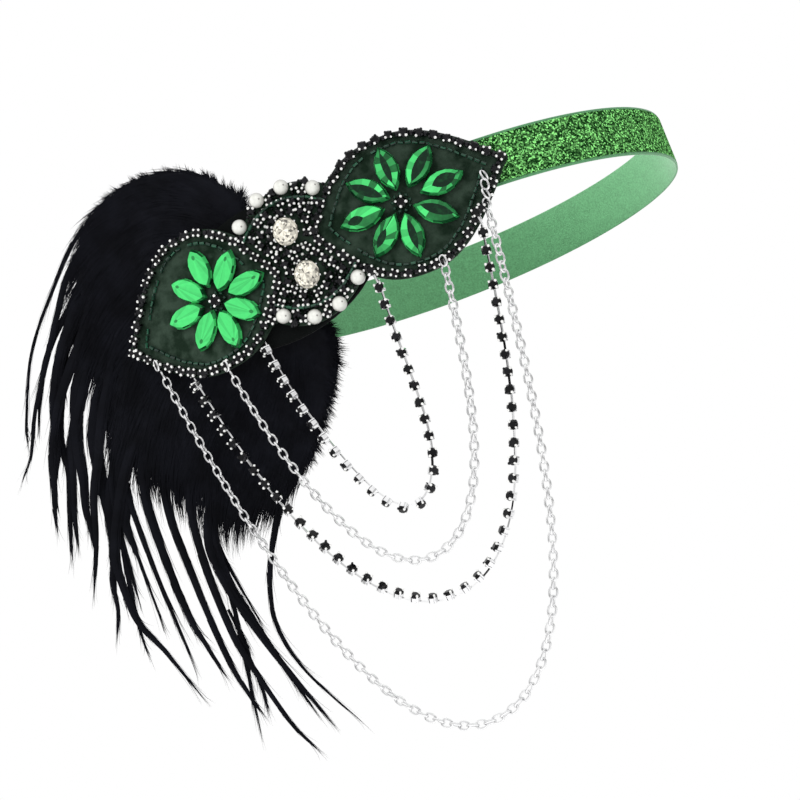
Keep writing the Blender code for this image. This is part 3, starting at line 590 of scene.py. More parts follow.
def new_group(name):
    """Make a shared shader node group."""
    inputs, outputs, nodes = GROUPS[name]
    group = bpy.data.node_groups.new(name, "ShaderNodeTree")
    for socket_name, default in inputs.items():
        kind = "NodeSocketColor" if isinstance(default, tuple) else "NodeSocketFloat"
        socket = group.interface.new_socket(socket_name, in_out="INPUT", socket_type=kind)
        socket.default_value = default
    for socket_name in outputs:
        kind = "NodeSocketColor" if socket_name == "Color" else "NodeSocketFloat"
        group.interface.new_socket(socket_name, in_out="OUTPUT", socket_type=kind)
    add_nodes(group, (("start", "NodeGroupInput", {}), ("end", "NodeGroupOutput", {}), *nodes))
    return group


def group_node(name, **values):
    """Return the node, for a material, that holds a shared group with its inputs set."""
    group = bpy.data.node_groups.get(name) or new_group(name)
    sockets = {socket.replace("_", " "): value for socket, value in values.items()}
    return "group", "ShaderNodeGroup", {"node_tree": group, **sockets}


def bump_node(strength, distance):
    return "bump", "ShaderNodeBump", {"Strength": strength, "Distance": distance, "Height": "group.Height"}


# Materials


def new_material(name, values, *nodes):
    """Return a new material from what its shader's sockets hold and the nodes before it."""
    made = bpy.data.materials.new(name)
    made.use_nodes = True
    if any(node[0] == "bump" for node in nodes):
        values = {**values, "Normal": "bump.Normal"}
    add_nodes(made.node_tree, (*nodes, ("Principled BSDF", "", {"Coat Roughness": 0.05, **values})))
    return made


def grained_material(name, color_a, color_b, cloud_scale, grain_scale, grain, values, bump_strength=0.0):
    """Return a material between two colours, with a bump if it is cloth."""
    nodes = [group_node(
        "Cloth grain", Cloud_scale=cloud_scale, Grain_scale=grain_scale, Grain=grain,
        Color_A=(*color_a, 1), Color_B=(*color_b, 1))]
    if bump_strength:
        nodes.append(bump_node(bump_strength, 0.0003))
    return new_material(name, {"Base Color": "group.Color", **values}, *nodes)


def cloth_material(name, color_a, color_b, cloud_scale, grain_scale, grain, bump_strength, sheen=0.0):
    values = {"Roughness": 0.92, "Specular IOR Level": 0.08, "Sheen Weight": sheen}
    return grained_material(name, color_a, color_b, cloud_scale, grain_scale, grain, values, bump_strength)


def stone_material(name, dark, bright, cloud, roughness, coat, painted_glow=0.0):
    values = {
        "Base Color": "group.Color", "Roughness": roughness, "Coat Weight": coat, "Specular IOR Level": 0.2}
    # A little emission from the facet colour makes the stones glow: painted light
    if painted_glow:
        values.update({"Emission Color": "group.Color", "Emission Strength": painted_glow})
    return new_material(
        name, values, group_node("Facet color", Dark=(*dark, 1), Bright=(*bright, 1), Cloud=cloud))


def glitter_material(size):
    # The flakes' bright base colour, with no specular shine, is painted glints
    values = {"Specular IOR Level": 0.0, "Base Color": "group.Color", "Roughness": "group.Roughness"}
    flakes = group_node(
        "Glitter flakes", Flakes_per_metre=1 / size, Dark=(0.001, 0.020, 0.003, 1),
        Bright=(0.34, 1.0, 0.28, 1))
    return new_material("glitter_ribbon", values, flakes, bump_node(0.6, 0.0002))


def pearl_material():
    """Return the pearls' material, with painted shade that darkens it towards their outline."""
    return new_material(
        "pearl", {"Base Color": "mix.Result", "Roughness": 0.28, "Coat Weight": 0.8},
        group_node(
            "Cloth grain", Cloud_scale=260.0, Grain_scale=1800.0, Grain=0.15, Color_A=(0.64, 0.65, 0.60, 1),
            Color_B=(0.84, 0.84, 0.79, 1)),
        # Painted shade: the colour darkens towards the pearl's outline
        ("edge", "ShaderNodeLayerWeight", {"Blend": 0.42}),
        ("mix", "ShaderNodeMix", {
            "data_type": "RGBA", "Factor": "edge.Facing", "A": "group.Color", "B": (0.13, 0.12, 0.11, 1)}))


def make_materials(scene):
    felt = scene.headband_felt
    velvet = scene.headband_ribbon.velvet_color
    feather = scene.headband_plume.color
    return {
        "glitter": glitter_material(scene.headband_ribbon.glitter_size),
        "velvet": cloth_material(
            "green_velvet", [v * 0.5 for v in velvet], [v * 1.5 for v in velvet], 300.0, 1500.0, 0.92, 0.35,
            0.35),
        "felt": cloth_material("dark_felt", felt.color, felt.nap_and_sheen_color, 170.0, 1500.0, 0.22, 0.5, 0.04),
        # The patch is near black: partly its own dark colour, partly painted shade under the plume
        "patch": cloth_material(
            "black_felt_and_painted_shade", (0.001, 0.0015, 0.0015), (0.004, 0.005, 0.005), 95.0, 2600.0, 0.45, 0.5, 0.05),
        # Grey of the pearls' hole discs: painted shade in the hole and a painted reflection
        "pearl_hole_painted_shade": cloth_material(
            "pearl_hole_painted_shade", (0.22, 0.21, 0.195), (0.36, 0.35, 0.33), 900.0, 4000.0, 0.4, 0.1),
        "emerald": stone_material(
            "emerald_stone", (0.001, 0.016, 0.006), scene.headband_stones.emerald_color, 0.18, 0.06, 0.10,
            0.03),
        "clear": stone_material("clear_stone", (0.06, 0.055, 0.05), (0.86, 0.82, 0.70), 0.3, 0.05, 0.4, 0.04),
        "jet": stone_material("jet_stone", (0.0012, 0.0012, 0.0016), (0.016, 0.016, 0.019), 0.1, 0.08, 0.06),
        "green_bead": stone_material(
            "green_bead", (0.001, 0.010, 0.006), (0.018, 0.095, 0.050), 0.3, 0.12, 0.5),
        "silver": grained_material(
            "silver_metal", (0.74, 0.74, 0.75), (0.95, 0.95, 0.95), 300.0, 1500.0, 0.3,
            {"Roughness": 0.16, "Metallic": 1.0}),
        # The claws' near-white, half-metal finish is a painted highlight: a lit copy of the silver
        "claw": grained_material(
            "claw_painted_highlight", (0.85, 0.85, 0.83), (1.0, 1.0, 0.98), 700.0, 2500.0, 0.3,
            {"Roughness": 0.30, "Metallic": 0.55, "Coat Weight": 0.5}),
        "pearl": pearl_material(),
        "feather": grained_material(
            "black_feather", [v * 0.6 for v in feather], [v * 1.7 for v in feather], 70.0, 900.0, 0.4,
            {"Roughness": 0.7, "Specular IOR Level": 0.07}),
    }


MATERIALS = {}


def material(name):
    """Return one of the headband's materials; all are made when the first is needed."""
    if not MATERIALS:
        MATERIALS.update(make_materials(bpy.context.scene))
    return MATERIALS[name]


# Ribbon and felt


def ribbon_section(edge_width):
    """Return the ribbon's profile, as (out, up), and its sides that are glitter."""
    half = RIBBON_WIDTH / 2
    rim = 0.00025
    # How far out and how far from the ribbon's edge, up the outer side and up the inner side
    outer = (
        (-RIBBON_THICKNESS / 2, 0.0), (-rim, rim * 0.3), (-rim / 2, edge_width * 0.6), (-rim, edge_width),
        (0.0, edge_width * 1.15))
    inner = (
        (-RIBBON_THICKNESS + rim, rim * 0.3), (-RIBBON_THICKNESS, rim * 2), (-RIBBON_THICKNESS, half * 0.67))
    section = [(out, inset - half) for out, inset in outer]
    section += [(0.0, -half / 2), (0.0, 0.0), (0.0, half / 2)]
    section += [(out, half - inset) for out, inset in outer[::-1] + inner]
    section += [(out, inset - half) for out, inset in inner[::-1]]
    return section, range(len(outer) - 1, len(outer) + 3)


def make_ribbon(settings):
    """Make the ribbon loop: glitter outside between plain woven edges, velvet inside."""
    steps = 360
    section, glitter_sides = ribbon_section(settings.edge_width)
    points = []
    for angle in circle(steps):
        outward = polar(angle, 1 / LOOP_LENGTH, 1 / LOOP_DEPTH).normalized()
        outer = polar(angle, LOOP_LENGTH / 2, LOOP_DEPTH / 2)
        points += [outer + out * outward + Vector((0.0, 0.0, up)) for out, up in section]
    shape = Shape(points, loft_faces(steps, len(section), closed=True))
    shape.slots = [0 if number % len(section) in glitter_sides else 1 for number in range(len(shape.faces))]
    shape.to_piece("ribbon", ("glitter", "velvet"), "glitter_ribbon", "ribbon_loop", 50, outwards=True)


def make_felt(name, node, cloth_name, rng):
    """Make a piece of cut felt in its solid's form, with rounded edges and a fine fuzz."""
    fibres = 7000
    felt = bmesh.new()
    felt.from_mesh(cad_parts[node].data)
    bmesh.ops.remove_doubles(felt, verts=felt.verts, dist=1e-6)
    bmesh.ops.dissolve_limit(felt, angle_limit=math.radians(1.0), verts=felt.verts, edges=felt.edges)
    rims = [edge for edge in felt.edges if edge.is_manifold and edge.calc_face_angle() > math.radians(60)]
    bmesh.ops.bevel(felt, geom=rims, offset=0.0004, segments=3, affect="EDGES", clamp_overlap=True)
    bmesh.ops.triangulate(felt, faces=felt.faces)
    shape = Shape(
        [vert.co.copy() for vert in felt.verts],
        [tuple(vert.index for vert in face.verts) for face in felt.faces])
    triangles = [([vert.co.copy() for vert in face.verts], face.normal.copy()) for face in felt.faces]
    weights = [face.calc_area() * (1.0 if abs(face.normal.y) > 0.9 else 5.0) for face in felt.faces]
    felt.free()
    for corners, normal in rng.choices(triangles, weights=weights, k=fibres):
        a, b = rng.random(), rng.random()
        if a + b > 1:
            a, b = 1 - a, 1 - b
        root = corners[0] + a * (corners[1] - corners[0]) + b * (corners[2] - corners[0])
        lean = random_vector(rng) + 0.7 * normal
        tip = root + lean.normalized() * rng.uniform(0.0003, 0.0008)
        side = lean.cross(normal).normalized() * 0.00003
        shape.add([root - side, root + side, tip], [(0, 1, 2)])
    shape.to_piece(name, (cloth_name,), "dark_felt", node, 50)


# Stones

STONE_SLOTS = ("silver", "jet", "claw")


def claw_stone(width, height, base, rng, claw=0.095, shown=1.0, arm_slot=0, dark_claws=()):
    """Return a black cut stone in a silver cup with four claws; slots are silver, jet and claw.

    The cup's wall reaches the share base of the height, claw is a claw's radius as a share of
    the width, shown is how many of the claws have tips with a painted highlight, dark_claws are
    claws whose tips are painted black as shade, and arm_slot is the slot of the claws' arms,
    which paints them black as shade when it is the jet slot.
    """
    wall = 0.45 * width
    eighth = math.pi / 8
    shape = Shape(
        ring(wall * 0.92, 0.0, 8, eighth) + ring(wall, height * base, 8, eighth)
        + ring(wall * 0.84, height * base, 8, eighth), loft_faces(3, 8))
    seat = ring(wall * 0.84, height * base * 0.9, 16)
    girdle = ring(wall * 1.04, height * 0.66, 16)
    table = ring(wall * 0.66, height, 8, eighth)
    faces = loft_faces(2, 16, caps=False)
    for side in range(8):
        here, there = 32 + side, 32 + (side + 1) % 8
        before, middle, after = (16 + (2 * side + step) % 16 for step in (1, 2, 3))
        faces += [(before, middle, here), (middle, there, here), (middle, after, there)]
    faces.append(tuple(range(32, 40)))
    # Painted light on the black stone: dim random glints on its facets
    painted_lights = [rng.uniform(0.0, 0.25) for _ in range(16)]
    painted_lights += [rng.choice((0.0, 0.05, 0.2, 0.7)) for _ in range(24)]
    shape.add(seat + girdle + table, faces, 1, painted_lights + [rng.uniform(0.0, 0.5)])
    claw_radius = width * claw
    for corner in range(4):
        # Each silver claw tip gets either the painted highlight or black painted shade
        slot = 2 if rng.random() < shown and corner not in dark_claws else 1
        direction = polar(math.pi / 4 + corner * math.pi / 2)
        across = Vector((-direction.y, direction.x, 0.0))
        arm = []
        for reach, rise, size in ((0.98, 0.0, 0.9), (1.02, 0.5, 0.85), (0.97, 0.78, 0.9), (0.84, 0.92, 0.8)):
            middle = direction * wall * reach + Vector((0, 0, height * rise))
            arm += diamond(middle, across * claw_radius * size, direction * claw_radius * size * 0.7)
        shape.add(arm, loft_faces(4, 4), arm_slot, 0.0)
        tip = ball(claw_radius * rng.uniform(1.0, 1.45), slot=slot)
        shape.stamp(tip, Matrix.Translation(direction * wall * 0.90 + Vector((0, 0, height * 0.92))))
    return shape


def make_edging(side, leaf, settings, rng):
    """Make the row of claw-set stones round a leaf, with beads between them."""
    shape = Shape()
    bead_radius, bead_squash = 0.00115, 0.8
    top_from, shift, twist = 0.006, 0.0004, 0.38
    for number, (along, up, turn) in enumerate(
            even_places(leaf_loop(leaf, EDGING_INSET), settings.border_pitch / 2)):
        if number % 2:
            bead = ball(bead_radius, squash=bead_squash, slot=1)
            shape.stamp(bead, applique_matrix(along, up, FELT_FRONT + 0.001))
            continue
        # On the right leaf's upper border two claws of each stone are painted black as shade, and all claws'
        # arms take jet as painted shade
        is_dark_top = leaf.side > 0 and up > leaf_axis(leaf, leaf_share(leaf, along)) + top_from
        stone_width = settings.border_stone * rng.uniform(0.88, 1.06)
        cut = claw_stone(
            stone_width, BORDER_STONE_HEIGHT, 0.5, rng, 0.120, 0.86, 1, (2, 3) if is_dark_top else ())
        shape.stamp(cut, applique_matrix(
            along + rng.uniform(-shift, shift), up + rng.uniform(-shift, shift), ON_FELT,
            turn + rng.uniform(-twist, twist)))
    shape.to_piece(side + "_border_stones", STONE_SLOTS, "jet_stone", side + "_edging_stones")


def bugle(length, radius, rng):
    sides = 8
    points = []
    for share, size in ((-0.5, 0.62), (-0.46, 1.0), (0.46, 1.0), (0.5, 0.62)):
        for point in ring(radius * size, 0.0, sides):
            points.append(Vector((share * length, point.x, point.y)))
    # Painted glints: each facet of the bead gets a random painted brightness
    painted_lights = [rng.uniform(0.0, 1.0) ** 2 for _ in range(3 * sides)] + [0.2, 0.2]
    return Shape(points, loft_faces(4, sides), 0, painted_lights)


def make_bugles(side, leaf, settings, rng):
    """Make the line of green bugle beads inside a leaf's border."""
    inset, radius, missing = 0.0034, 0.00062, 0.03
    shape = Shape()
    for along, up, turn in even_places(
            leaf_loop(leaf, EDGING_INSET + inset), settings.bugle_length * 1.16):
        if rng.random() < missing:
            continue
        bead = bugle(settings.bugle_length * rng.uniform(0.86, 1.0), radius * rng.uniform(0.9, 1.1), rng)
        shape.stamp(bead, applique_matrix(along, up, FELT_FRONT + radius, turn + rng.uniform(-0.16, 0.16)))
    shape.to_piece(side + "_bugle_beads", ("green_bead",), "emerald_stone", smooth=30)


def navette(length, width, count, fullness):
    """Return the points of a pointed oval, from its right tip round over the top."""
    points = []
    for side in (1, -1):
        for step in range(count):
            share = math.cos(math.pi * step / count) * side
            points.append((share * length / 2, side * width / 2 * (1 - abs(share) ** fullness)))
    return points


def petal_shape(length, width, petal, foil, rng):
    """Return a green sew-on stone: base, girdle, crown facets, and a table with a window."""
    outline = navette(length, width, 8, 3.0 if foil else 2.2)
    count = len(outline)
    thickness, table = 0.0030, 0.86
    rings = ((0.90, 0.0), (1.0, 0.34), (0.95, 0.66), (table, 1.0))
    points = [Vector((x * scale, y * scale, z * thickness)) for scale, z in rings for x, y in outline]
    window_length, window_width = petal.window_length, petal.window_width * 0.82
    window_x = petal.window_along * length * table / 2 * (1 - window_length)
    window_y = petal.window_across * width * table / 2 * (1 - window_width)
    for x, y in outline:
        points.append(Vector((
            x * table * window_length + window_x, y * table * window_width + window_y, thickness)))
    # Painted light on each facet: random glints on the base and the tips, the petal's left and right painted
    # brightness on the crown and table, and, when foil is nought, painted light that fades towards the tip
    painted_lights = []
    for level in range(4):
        for (x, y), (next_x, next_y) in zip(outline, outline[1:] + outline[:1]):
            middle_x = (x + next_x) / length
            glow = petal.left if y + next_y > 0 else petal.right
            if not foil:
                glow *= 0.98 - 0.40 * middle_x
            if level == 0:
                painted_lights.append(rng.choice((0.02, 0.06, 0.12, 0.30)))
            elif abs(middle_x) > 0.80 and level < 3:
                painted_lights.append(rng.choice((0.04, 0.12, 0.30)))
            elif level < 3:
                painted_lights.append(glow * rng.choice((0.10, 0.22, 0.45, 0.85)))
            elif foil:
                painted_lights.append(glow * rng.uniform(0.66, 0.92))
            else:
                painted_lights.append(glow * rng.choice((0.22, 0.70, 1.00, 1.15)))
    # The window takes the flower's foil value as its painted brightness; the base takes none
    shape = Shape(points, loft_faces(5, count), 0, painted_lights + [0.0, foil])
    for end in (-1, 1):
        hole = ball(0.00034, 10, 6, 0.4, 1, 0.0)
        shape.stamp(hole, Matrix.Translation((end * length * 0.38, 0.0, thickness * 0.92)))
    return shape


def make_flower(side, flower, rng):
    """Make a flower's petals, its middle stone and the beads round it."""
    petals = Shape()
    growth = 1.10  # the petals are drawn larger than their solids, which keep clear of each other
    middle_width, middle_height, middle_turn = 0.0050, 0.0030, math.radians(25)
    beads_round, beads_reach, bead_radius = 9, 0.0035, 0.00075
    length, width = flower.petal_length * growth, flower.petal_width * growth
    for petal in flower.petals:
        turn = math.radians(petal.turn)
        reach = petal.reach * LEAF_HEIGHT / 2 + FIT_GAP - length / 2
        along, up = flower.along + reach * math.cos(turn), flower.up + reach * math.sin(turn)
        petals.stamp(
            petal_shape(length, width, petal, flower.foil, rng), applique_matrix(along, up, ON_FELT, turn))
    nodes = ["%s_petal_%d" % (side, number) for number in range(1, 9)]
    petals.to_piece(side + "_petals", ("emerald", "jet"), "emerald_stone", nodes)
    middle = Shape()
    middle.stamp(
        claw_stone(middle_width, middle_height, 0.5, rng),
        applique_matrix(flower.along, flower.up, ON_FELT, middle_turn))
    middle.to_piece(side + "_middle_stone", STONE_SLOTS, "jet_stone", side + "_flower_stone")
    beads = Shape()
    for angle in circle(beads_round):
        bead = ball(bead_radius)
        # Painted glints: each face of a bead gets a random painted brightness
        bead.painted_lights = [rng.uniform(0.0, 0.5) for _ in bead.faces]
        along = flower.along + beads_reach * math.cos(angle)
        up = flower.up + beads_reach * math.sin(angle)
        beads.stamp(bead, applique_matrix(along, up, FELT_FRONT + 0.0007))
    beads.to_piece(side + "_middle_beads", ("green_bead",), "jet_stone", smooth=60)


def clear_stone_shape(width, height, thickness, rng):
    """Return a clear oval stone with rows of small facets up to its table."""
    sides = 16
    # Each ring's size, its height and how far it is turned, in facets
    levels = (
        (0.86, 0.0, 0.0), (1.0, 0.30, 0.0), (0.93, 0.52, 0.5), (0.78, 0.76, 0.0), (0.60, 0.93, 0.5),
        (0.40, 1.0, 0.0))
    points = []
    for scale, rise, shift in levels:
        for angle in circle(sides, 2 * math.pi * shift / sides):
            points.append(polar(angle, width / 2 * scale, height / 2 * scale, rise * thickness))
    faces = []
    for level, (lower, upper) in enumerate(zip(levels, levels[1:])):
        for side in range(sides):
            after = (side + 1) % sides
            low, low_next = level * sides + side, level * sides + after
            high, high_next = low + sides, low_next + sides
            if upper[2] == lower[2]:
                faces.append((low, low_next, high_next, high))
            elif upper[2] > lower[2]:
                faces += [(low, low_next, high), (low_next, high_next, high)]
            else:
                faces += [(low, high_next, high), (low, low_next, high_next)]
    last = (len(levels) - 1) * sides
    faces += [(last + side, last + (side + 1) % sides, len(points)) for side in range(sides)]
    points.append(Vector((0.0, 0.0, thickness * 1.04)))
    faces.append(tuple(range(sides - 1, -1, -1)))
    # Painted light: each facet gets a random brightness, dark to bright, for the stone's reflections
    return Shape(points, faces, 0, [rng.choice((0.10, 0.32, 0.50, 0.62, 0.75, 0.88, 1.0)) for _ in faces])


def make_clear_stones(rng):
    """Make the two clear stones with a beaded silver gallery round each."""
    for name in ("clear_stone_upper", "clear_stone_lower"):
        low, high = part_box(name)
        middle = (low + high) / 2
        height = high.z - low.z
        along = math.asin(middle.x / (APPLIQUE_RADIUS + ON_FELT)) * APPLIQUE_RADIUS
        place = applique_matrix(along, middle.z, ON_FELT + BED_THICKNESS + FIT_GAP)
        cut = clear_stone_shape(CLEAR_WIDTH, height, 0.0040, rng)
        cut.to_piece(name + "_cut", ("clear",), "clear_stone", name, matrix=place)
        gallery = Shape()
        for angle in circle(8, math.pi / 8):
            corner = polar(angle, CLEAR_WIDTH / 2 + CLEAR_CLAW_GAP, height / 2 + CLEAR_CLAW_GAP, 0.0016)
            gallery.stamp(ball(0.00045), Matrix.Translation(corner))
        gallery.to_piece(name + "_claws", ("silver",), "silver_metal", smooth=60, matrix=place)


def medallion_rows():
    """Return the rows that the medallion's stones follow, as lists of (along, up, turn)."""
    rings, leaf_rows, arcs = [], [], []
    pitch = 0.0040
    for up in CLEAR_UPS:
        for reach in (0.0021, 0.0061):
            points = [
                polar(angle, CLEAR_WIDTH / 2 + reach, CLEAR_HEIGHT / 2 + reach) for angle in circle(72)]
            rings.append(even_places([medallion_place(point.x, up + point.y) for point in points], pitch))
    for leaf in (RIGHT_LEAF, LEFT_LEAF):
        for outset in (0.0013, 0.0051):
            leaf_rows.append(even_places(leaf_loop(leaf, -outset), 0.0042))
    for side in (1, -1):
        for reach in (0.0202, 0.0236, 0.0269):
            arcs.append(even_places(medallion_arc(side, reach, 0.0011), pitch, closed=False))
    return leaf_rows[::2] + rings[::2] + arcs + leaf_rows[1::2] + rings[1::2]


def medallion_layout(stone_radius, rng):
    """Return the medallion's stones and small beads, kept clear of pearls, leaves and each other."""
    pearls = []
    for side in (1, -1):
        for number in range(4):
            offset = (number - 1.5) * PEARL_PITCH
            reach = PEARL_REACH - offset * offset / (2 * PEARL_ROUNDING)
            pearls.append(medallion_place(offset, side * reach))
    clear = [medallion_place(0.0, up) for up in CLEAR_UPS]
    room_x, room_z = CLEAR_WIDTH / 2 + CLEAR_CLAW_GAP, CLEAR_HEIGHT / 2 + CLEAR_CLAW_GAP

    def is_free(along, up, radius, taken, spacing):
        span = medallion_span(along)
        if not span or abs(up - span[0]) >= span[1] - radius * 0.25:
            return False
        if any(in_leaf(leaf, along, up, -0.0001) for leaf in (RIGHT_LEAF, LEFT_LEAF)):
            return False
        if any(math.hypot(along - x, up - z) < PEARL_RADIUS + radius * 0.9 for x, z in pearls):
            return False
        reach_x, reach_z = room_x + radius, room_z + radius
        if any(math.hypot((along - x) / reach_x, (up - z) / reach_z) < 1 for x, z in clear):
            return False
        return all(math.hypot(along - x, up - z) >= spacing + r for x, z, _, r in taken)

    def random_place():
        along = MEDALLION_ALONG + rng.uniform(-0.5, 0.5) * MEDALLION_WIDTH
        return along, MEDALLION_UP + rng.uniform(-0.5, 0.5) * MEDALLION_HEIGHT

    stone_tries, bead_tries = 6000, 14000
    stone_spacing, bead_spacing, bead_radius = stone_radius * 1.02, 0.00066, 0.0007
    stones, beads = [], []
    for row in medallion_rows():
        for along, up, turn in row:
            if is_free(along, up, stone_radius, stones, stone_spacing):
                stones.append((along, up, turn, stone_radius))
    for _ in range(stone_tries):
        along, up = random_place()
        if is_free(along, up, stone_radius, stones, stone_spacing):
            stones.append((along, up, rng.uniform(0.0, 1.5), stone_radius))
    for _ in range(bead_tries):
        along, up = random_place()
        if is_free(along, up, bead_radius, stones + beads, bead_spacing):
            beads.append((along, up, 0.0, bead_radius))
    return stones, beads


def make_medallion(settings, rng):
    """Make the medallion's small stones, its seed beads and the green arcs inside the pearls."""
    stone_width, silvered = settings.border_stone * 0.86, 0.12
    arc_reach, arc_step, arc_out = 0.0222, 0.00085, ON_FELT + 0.0021
    stones, beads = medallion_layout(stone_width / 2, rng)
    shape = Shape()
    for along, up, turn, _ in stones:
        # Four in ten claw tips, at random, are painted black as shade, and the claws' arms take jet as
        # painted shade
        cut = claw_stone(stone_width, BORDER_STONE_HEIGHT, 0.5, rng, 0.140, 0.60, 1)
        shape.stamp(cut, applique_matrix(along, up, ON_FELT, turn + rng.uniform(-0.3, 0.3)))
    shape.to_piece("medallion_claw_stones", STONE_SLOTS, "jet_stone", "medallion_stones")
    seeds = Shape()
    for along, up, _, radius in beads:
        bead = ball(radius, squash=0.85, slot=1 if rng.random() < silvered else 0)
        # Painted glints on each bead; about one bead in eight takes the claws' painted highlight
        bead.painted_lights = [rng.uniform(0.0, 0.4) for _ in bead.faces]
        seeds.stamp(bead, applique_matrix(along, up, FELT_FRONT + radius * 1.2))
    seeds.to_piece("medallion_seed_beads", ("jet", "claw"), "jet_stone", smooth=60)
    for name, side in (("upper", 1), ("lower", -1)):
        arc = Shape()
        for along, up, turn in even_places(
                medallion_arc(side, arc_reach, arc_step), settings.bugle_length * 1.05, closed=False):
            bead = bugle(settings.bugle_length, 0.0006, rng)
            arc.stamp(bead, applique_matrix(along, up, arc_out, turn))
        arc.to_piece("medallion_arc_" + name, ("green_bead",), "emerald_stone", smooth=30)


def make_pearls():
    """Make the pearls, each with the two small pits of its drilled hole, grey with painted shade and a
    painted reflection.
    """
    for edge in ("upper", "lower"):
        for number in range(1, 5):
            node = "pearl_%s_%d" % (edge, number)
            low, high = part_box(node)
            bead = ball(PEARL_RADIUS, 40, 24)
            drilled = Vector((0.30 + 0.07 * number, -1.0, -0.42 + 0.12 * number)).to_track_quat("Z", "Y")
            # Grey discs at the hole's two ends: painted shade in the hole and a painted reflection
            for end in (-1, 1):
                pit = Matrix.Translation((0, 0, end * PEARL_RADIUS * 0.985))
                bead.stamp(ball(0.0004, 12, 6, 0.3, 1), drilled.to_matrix().to_4x4() @ pit)
            middle = Matrix.Translation((low + high) / 2)
            bead.to_piece(node + "_bead", ("pearl", "pearl_hole_painted_shade"), "pearl", node, 60, middle)


# Strands


def catenary(start, end, length, count):
    """Return evenly spaced points of a chain of the given length between two points."""
    across = math.hypot(end.x - start.x, end.y - start.y)
    rise = end.z - start.z
    low, high = across / 60, across * 60  # the curve's scale lies between these
    for _ in range(100):
        scale = (low + high) / 2
        if 2 * scale * math.sinh(across / (2 * scale)) > math.sqrt(length ** 2 - rise ** 2):
            low = scale
        else:
            high = scale
    lowest = (across - scale * math.log((length + rise) / (length - rise))) / 2
    points = []
    for step in range(count + 1):
        arc = length * step / count - scale * math.sinh(lowest / scale)
        place = lowest + scale * math.asinh(arc / scale)
        height = scale * (math.cosh((place - lowest) / scale) - math.cosh(lowest / scale))
        point = start.lerp(end, place / across)
        points.append(Vector((point.x, point.y, start.z + height)))
    return points


def leaf_along(leaf, share):
    return leaf.along + leaf.side * share * leaf.length / 2


def hang_point(leaf, share, half_width):
    along = leaf_along(leaf, share)
    up = min(felt_bottom(along + side * half_width) for side in (-1, 0, 1)) - FIT_GAP
    return applique_matrix(along, up, FELT_FRONT).to_translation()


class Route:
    """The way that a strand hangs, as points with the strand's axes at each."""

    def __init__(self, strand, pieces, fine):
        start = hang_point(LEFT_LEAF, strand.left_share, strand.half_width)
        end = hang_point(RIGHT_LEAF, strand.right_share, strand.half_width)
        count = pieces * fine
        aside = Vector((end.x - start.x, end.y - start.y, 0.0)).normalized()
        self.front = Vector((aside.y, -aside.x, 0.0))
        self.points = [
            point + strand.sway * math.sin(math.pi * step / count) ** 2 * aside
            for step, point in enumerate(catenary(start, end, strand.length, count))]

    def tangent(self, index):
        last = len(self.points) - 1
        return (self.points[min(index + 1, last)] - self.points[max(index - 1, 0)]).normalized()

    def outward(self, index, turn):
        """Return the direction that is turned from the front towards the strand's outside."""
        tangent = self.tangent(index)
        outside = tangent.cross(self.front).normalized()
        return math.cos(turn) * outside.cross(tangent).normalized() + math.sin(turn) * outside

    def matrix(self, index, out, sunk=0.0):
        tangent = self.tangent(index)
        return axes_matrix(tangent, out.cross(tangent), out, self.points[index] - sunk * out)


def table_value(table, share):
    for (share_before, before), (share_after, after) in zip(table, table[1:]):
        if share <= share_after:
            return before + (after - before) * (share - share_before) / (share_after - share_before)
    return table[-1][1]


def link_shape(settings):
    """Return one oval chain link in the plane of X and Y, long along X."""
    wire = settings.wire / 2
    half_length, half_width = settings.link_length / 2 - wire, settings.link_width / 2 - wire
    steps, sides, squareness = 22, 8, 0.86
    points = []
    for angle in circle(steps):
        x, y = (math.copysign(abs(v) ** squareness, v) for v in (math.cos(angle), math.sin(angle)))
        outward = polar(angle, 1 / half_length, 1 / half_width).normalized()
        for turn in circle(sides):
            points.append(Vector((x * half_length, y * half_width, 0.0)) + wire * (
                math.cos(turn) * outward + math.sin(turn) * Vector((0, 0, 1.15))))
    return Shape(points, loft_faces(steps, sides, closed=True))


def make_chain(number, strand, above, settings, rng):
    """Make a silver link chain along a strand, its links turned to one side and the other.

    The pair above holds how many links lie on the applique over its left and right end.
    """
    inner = settings.link_length - 2 * settings.wire
    count = round(strand.length / inner)
    fine = 4
    flat, upright = 14, 82
    route = Route(strand, count, fine)
    shape = Shape()
    link = link_shape(settings)
    for place in range(count):
        index = place * fine + fine // 2
        twist = 0.45 * noise.noise(Vector((place * 0.11, strand.length * 50, 0.0)))
        turn = math.radians(flat if place % 2 else upright) + twist + rng.uniform(-0.12, 0.12)
        shape.stamp(link, route.matrix(index, route.outward(index, turn)))
    ends = ((LEFT_LEAF, strand.left_share, above[0]), (RIGHT_LEAF, strand.right_share, above[1]))
    for leaf, share, links in ends:
        along = leaf_along(leaf, share)
        for place in range(links):
            matrix = applique_matrix(
                along + 0.0002 + 0.0009 * place, felt_bottom(along) + 0.0012 + place * inner,
                (0.0044, 0.0062, 0.0064)[min(place, 2)], math.radians(92 + 8 * (place % 2)))
            turn = Matrix.Rotation(math.radians(48 if place % 2 else -30), 4, "X")
            shape.stamp(link, matrix @ turn)
    shape.to_piece(
        "strand_%d_links" % number, ("silver",), "silver_metal", "strand_%d_chain" % number, 60)


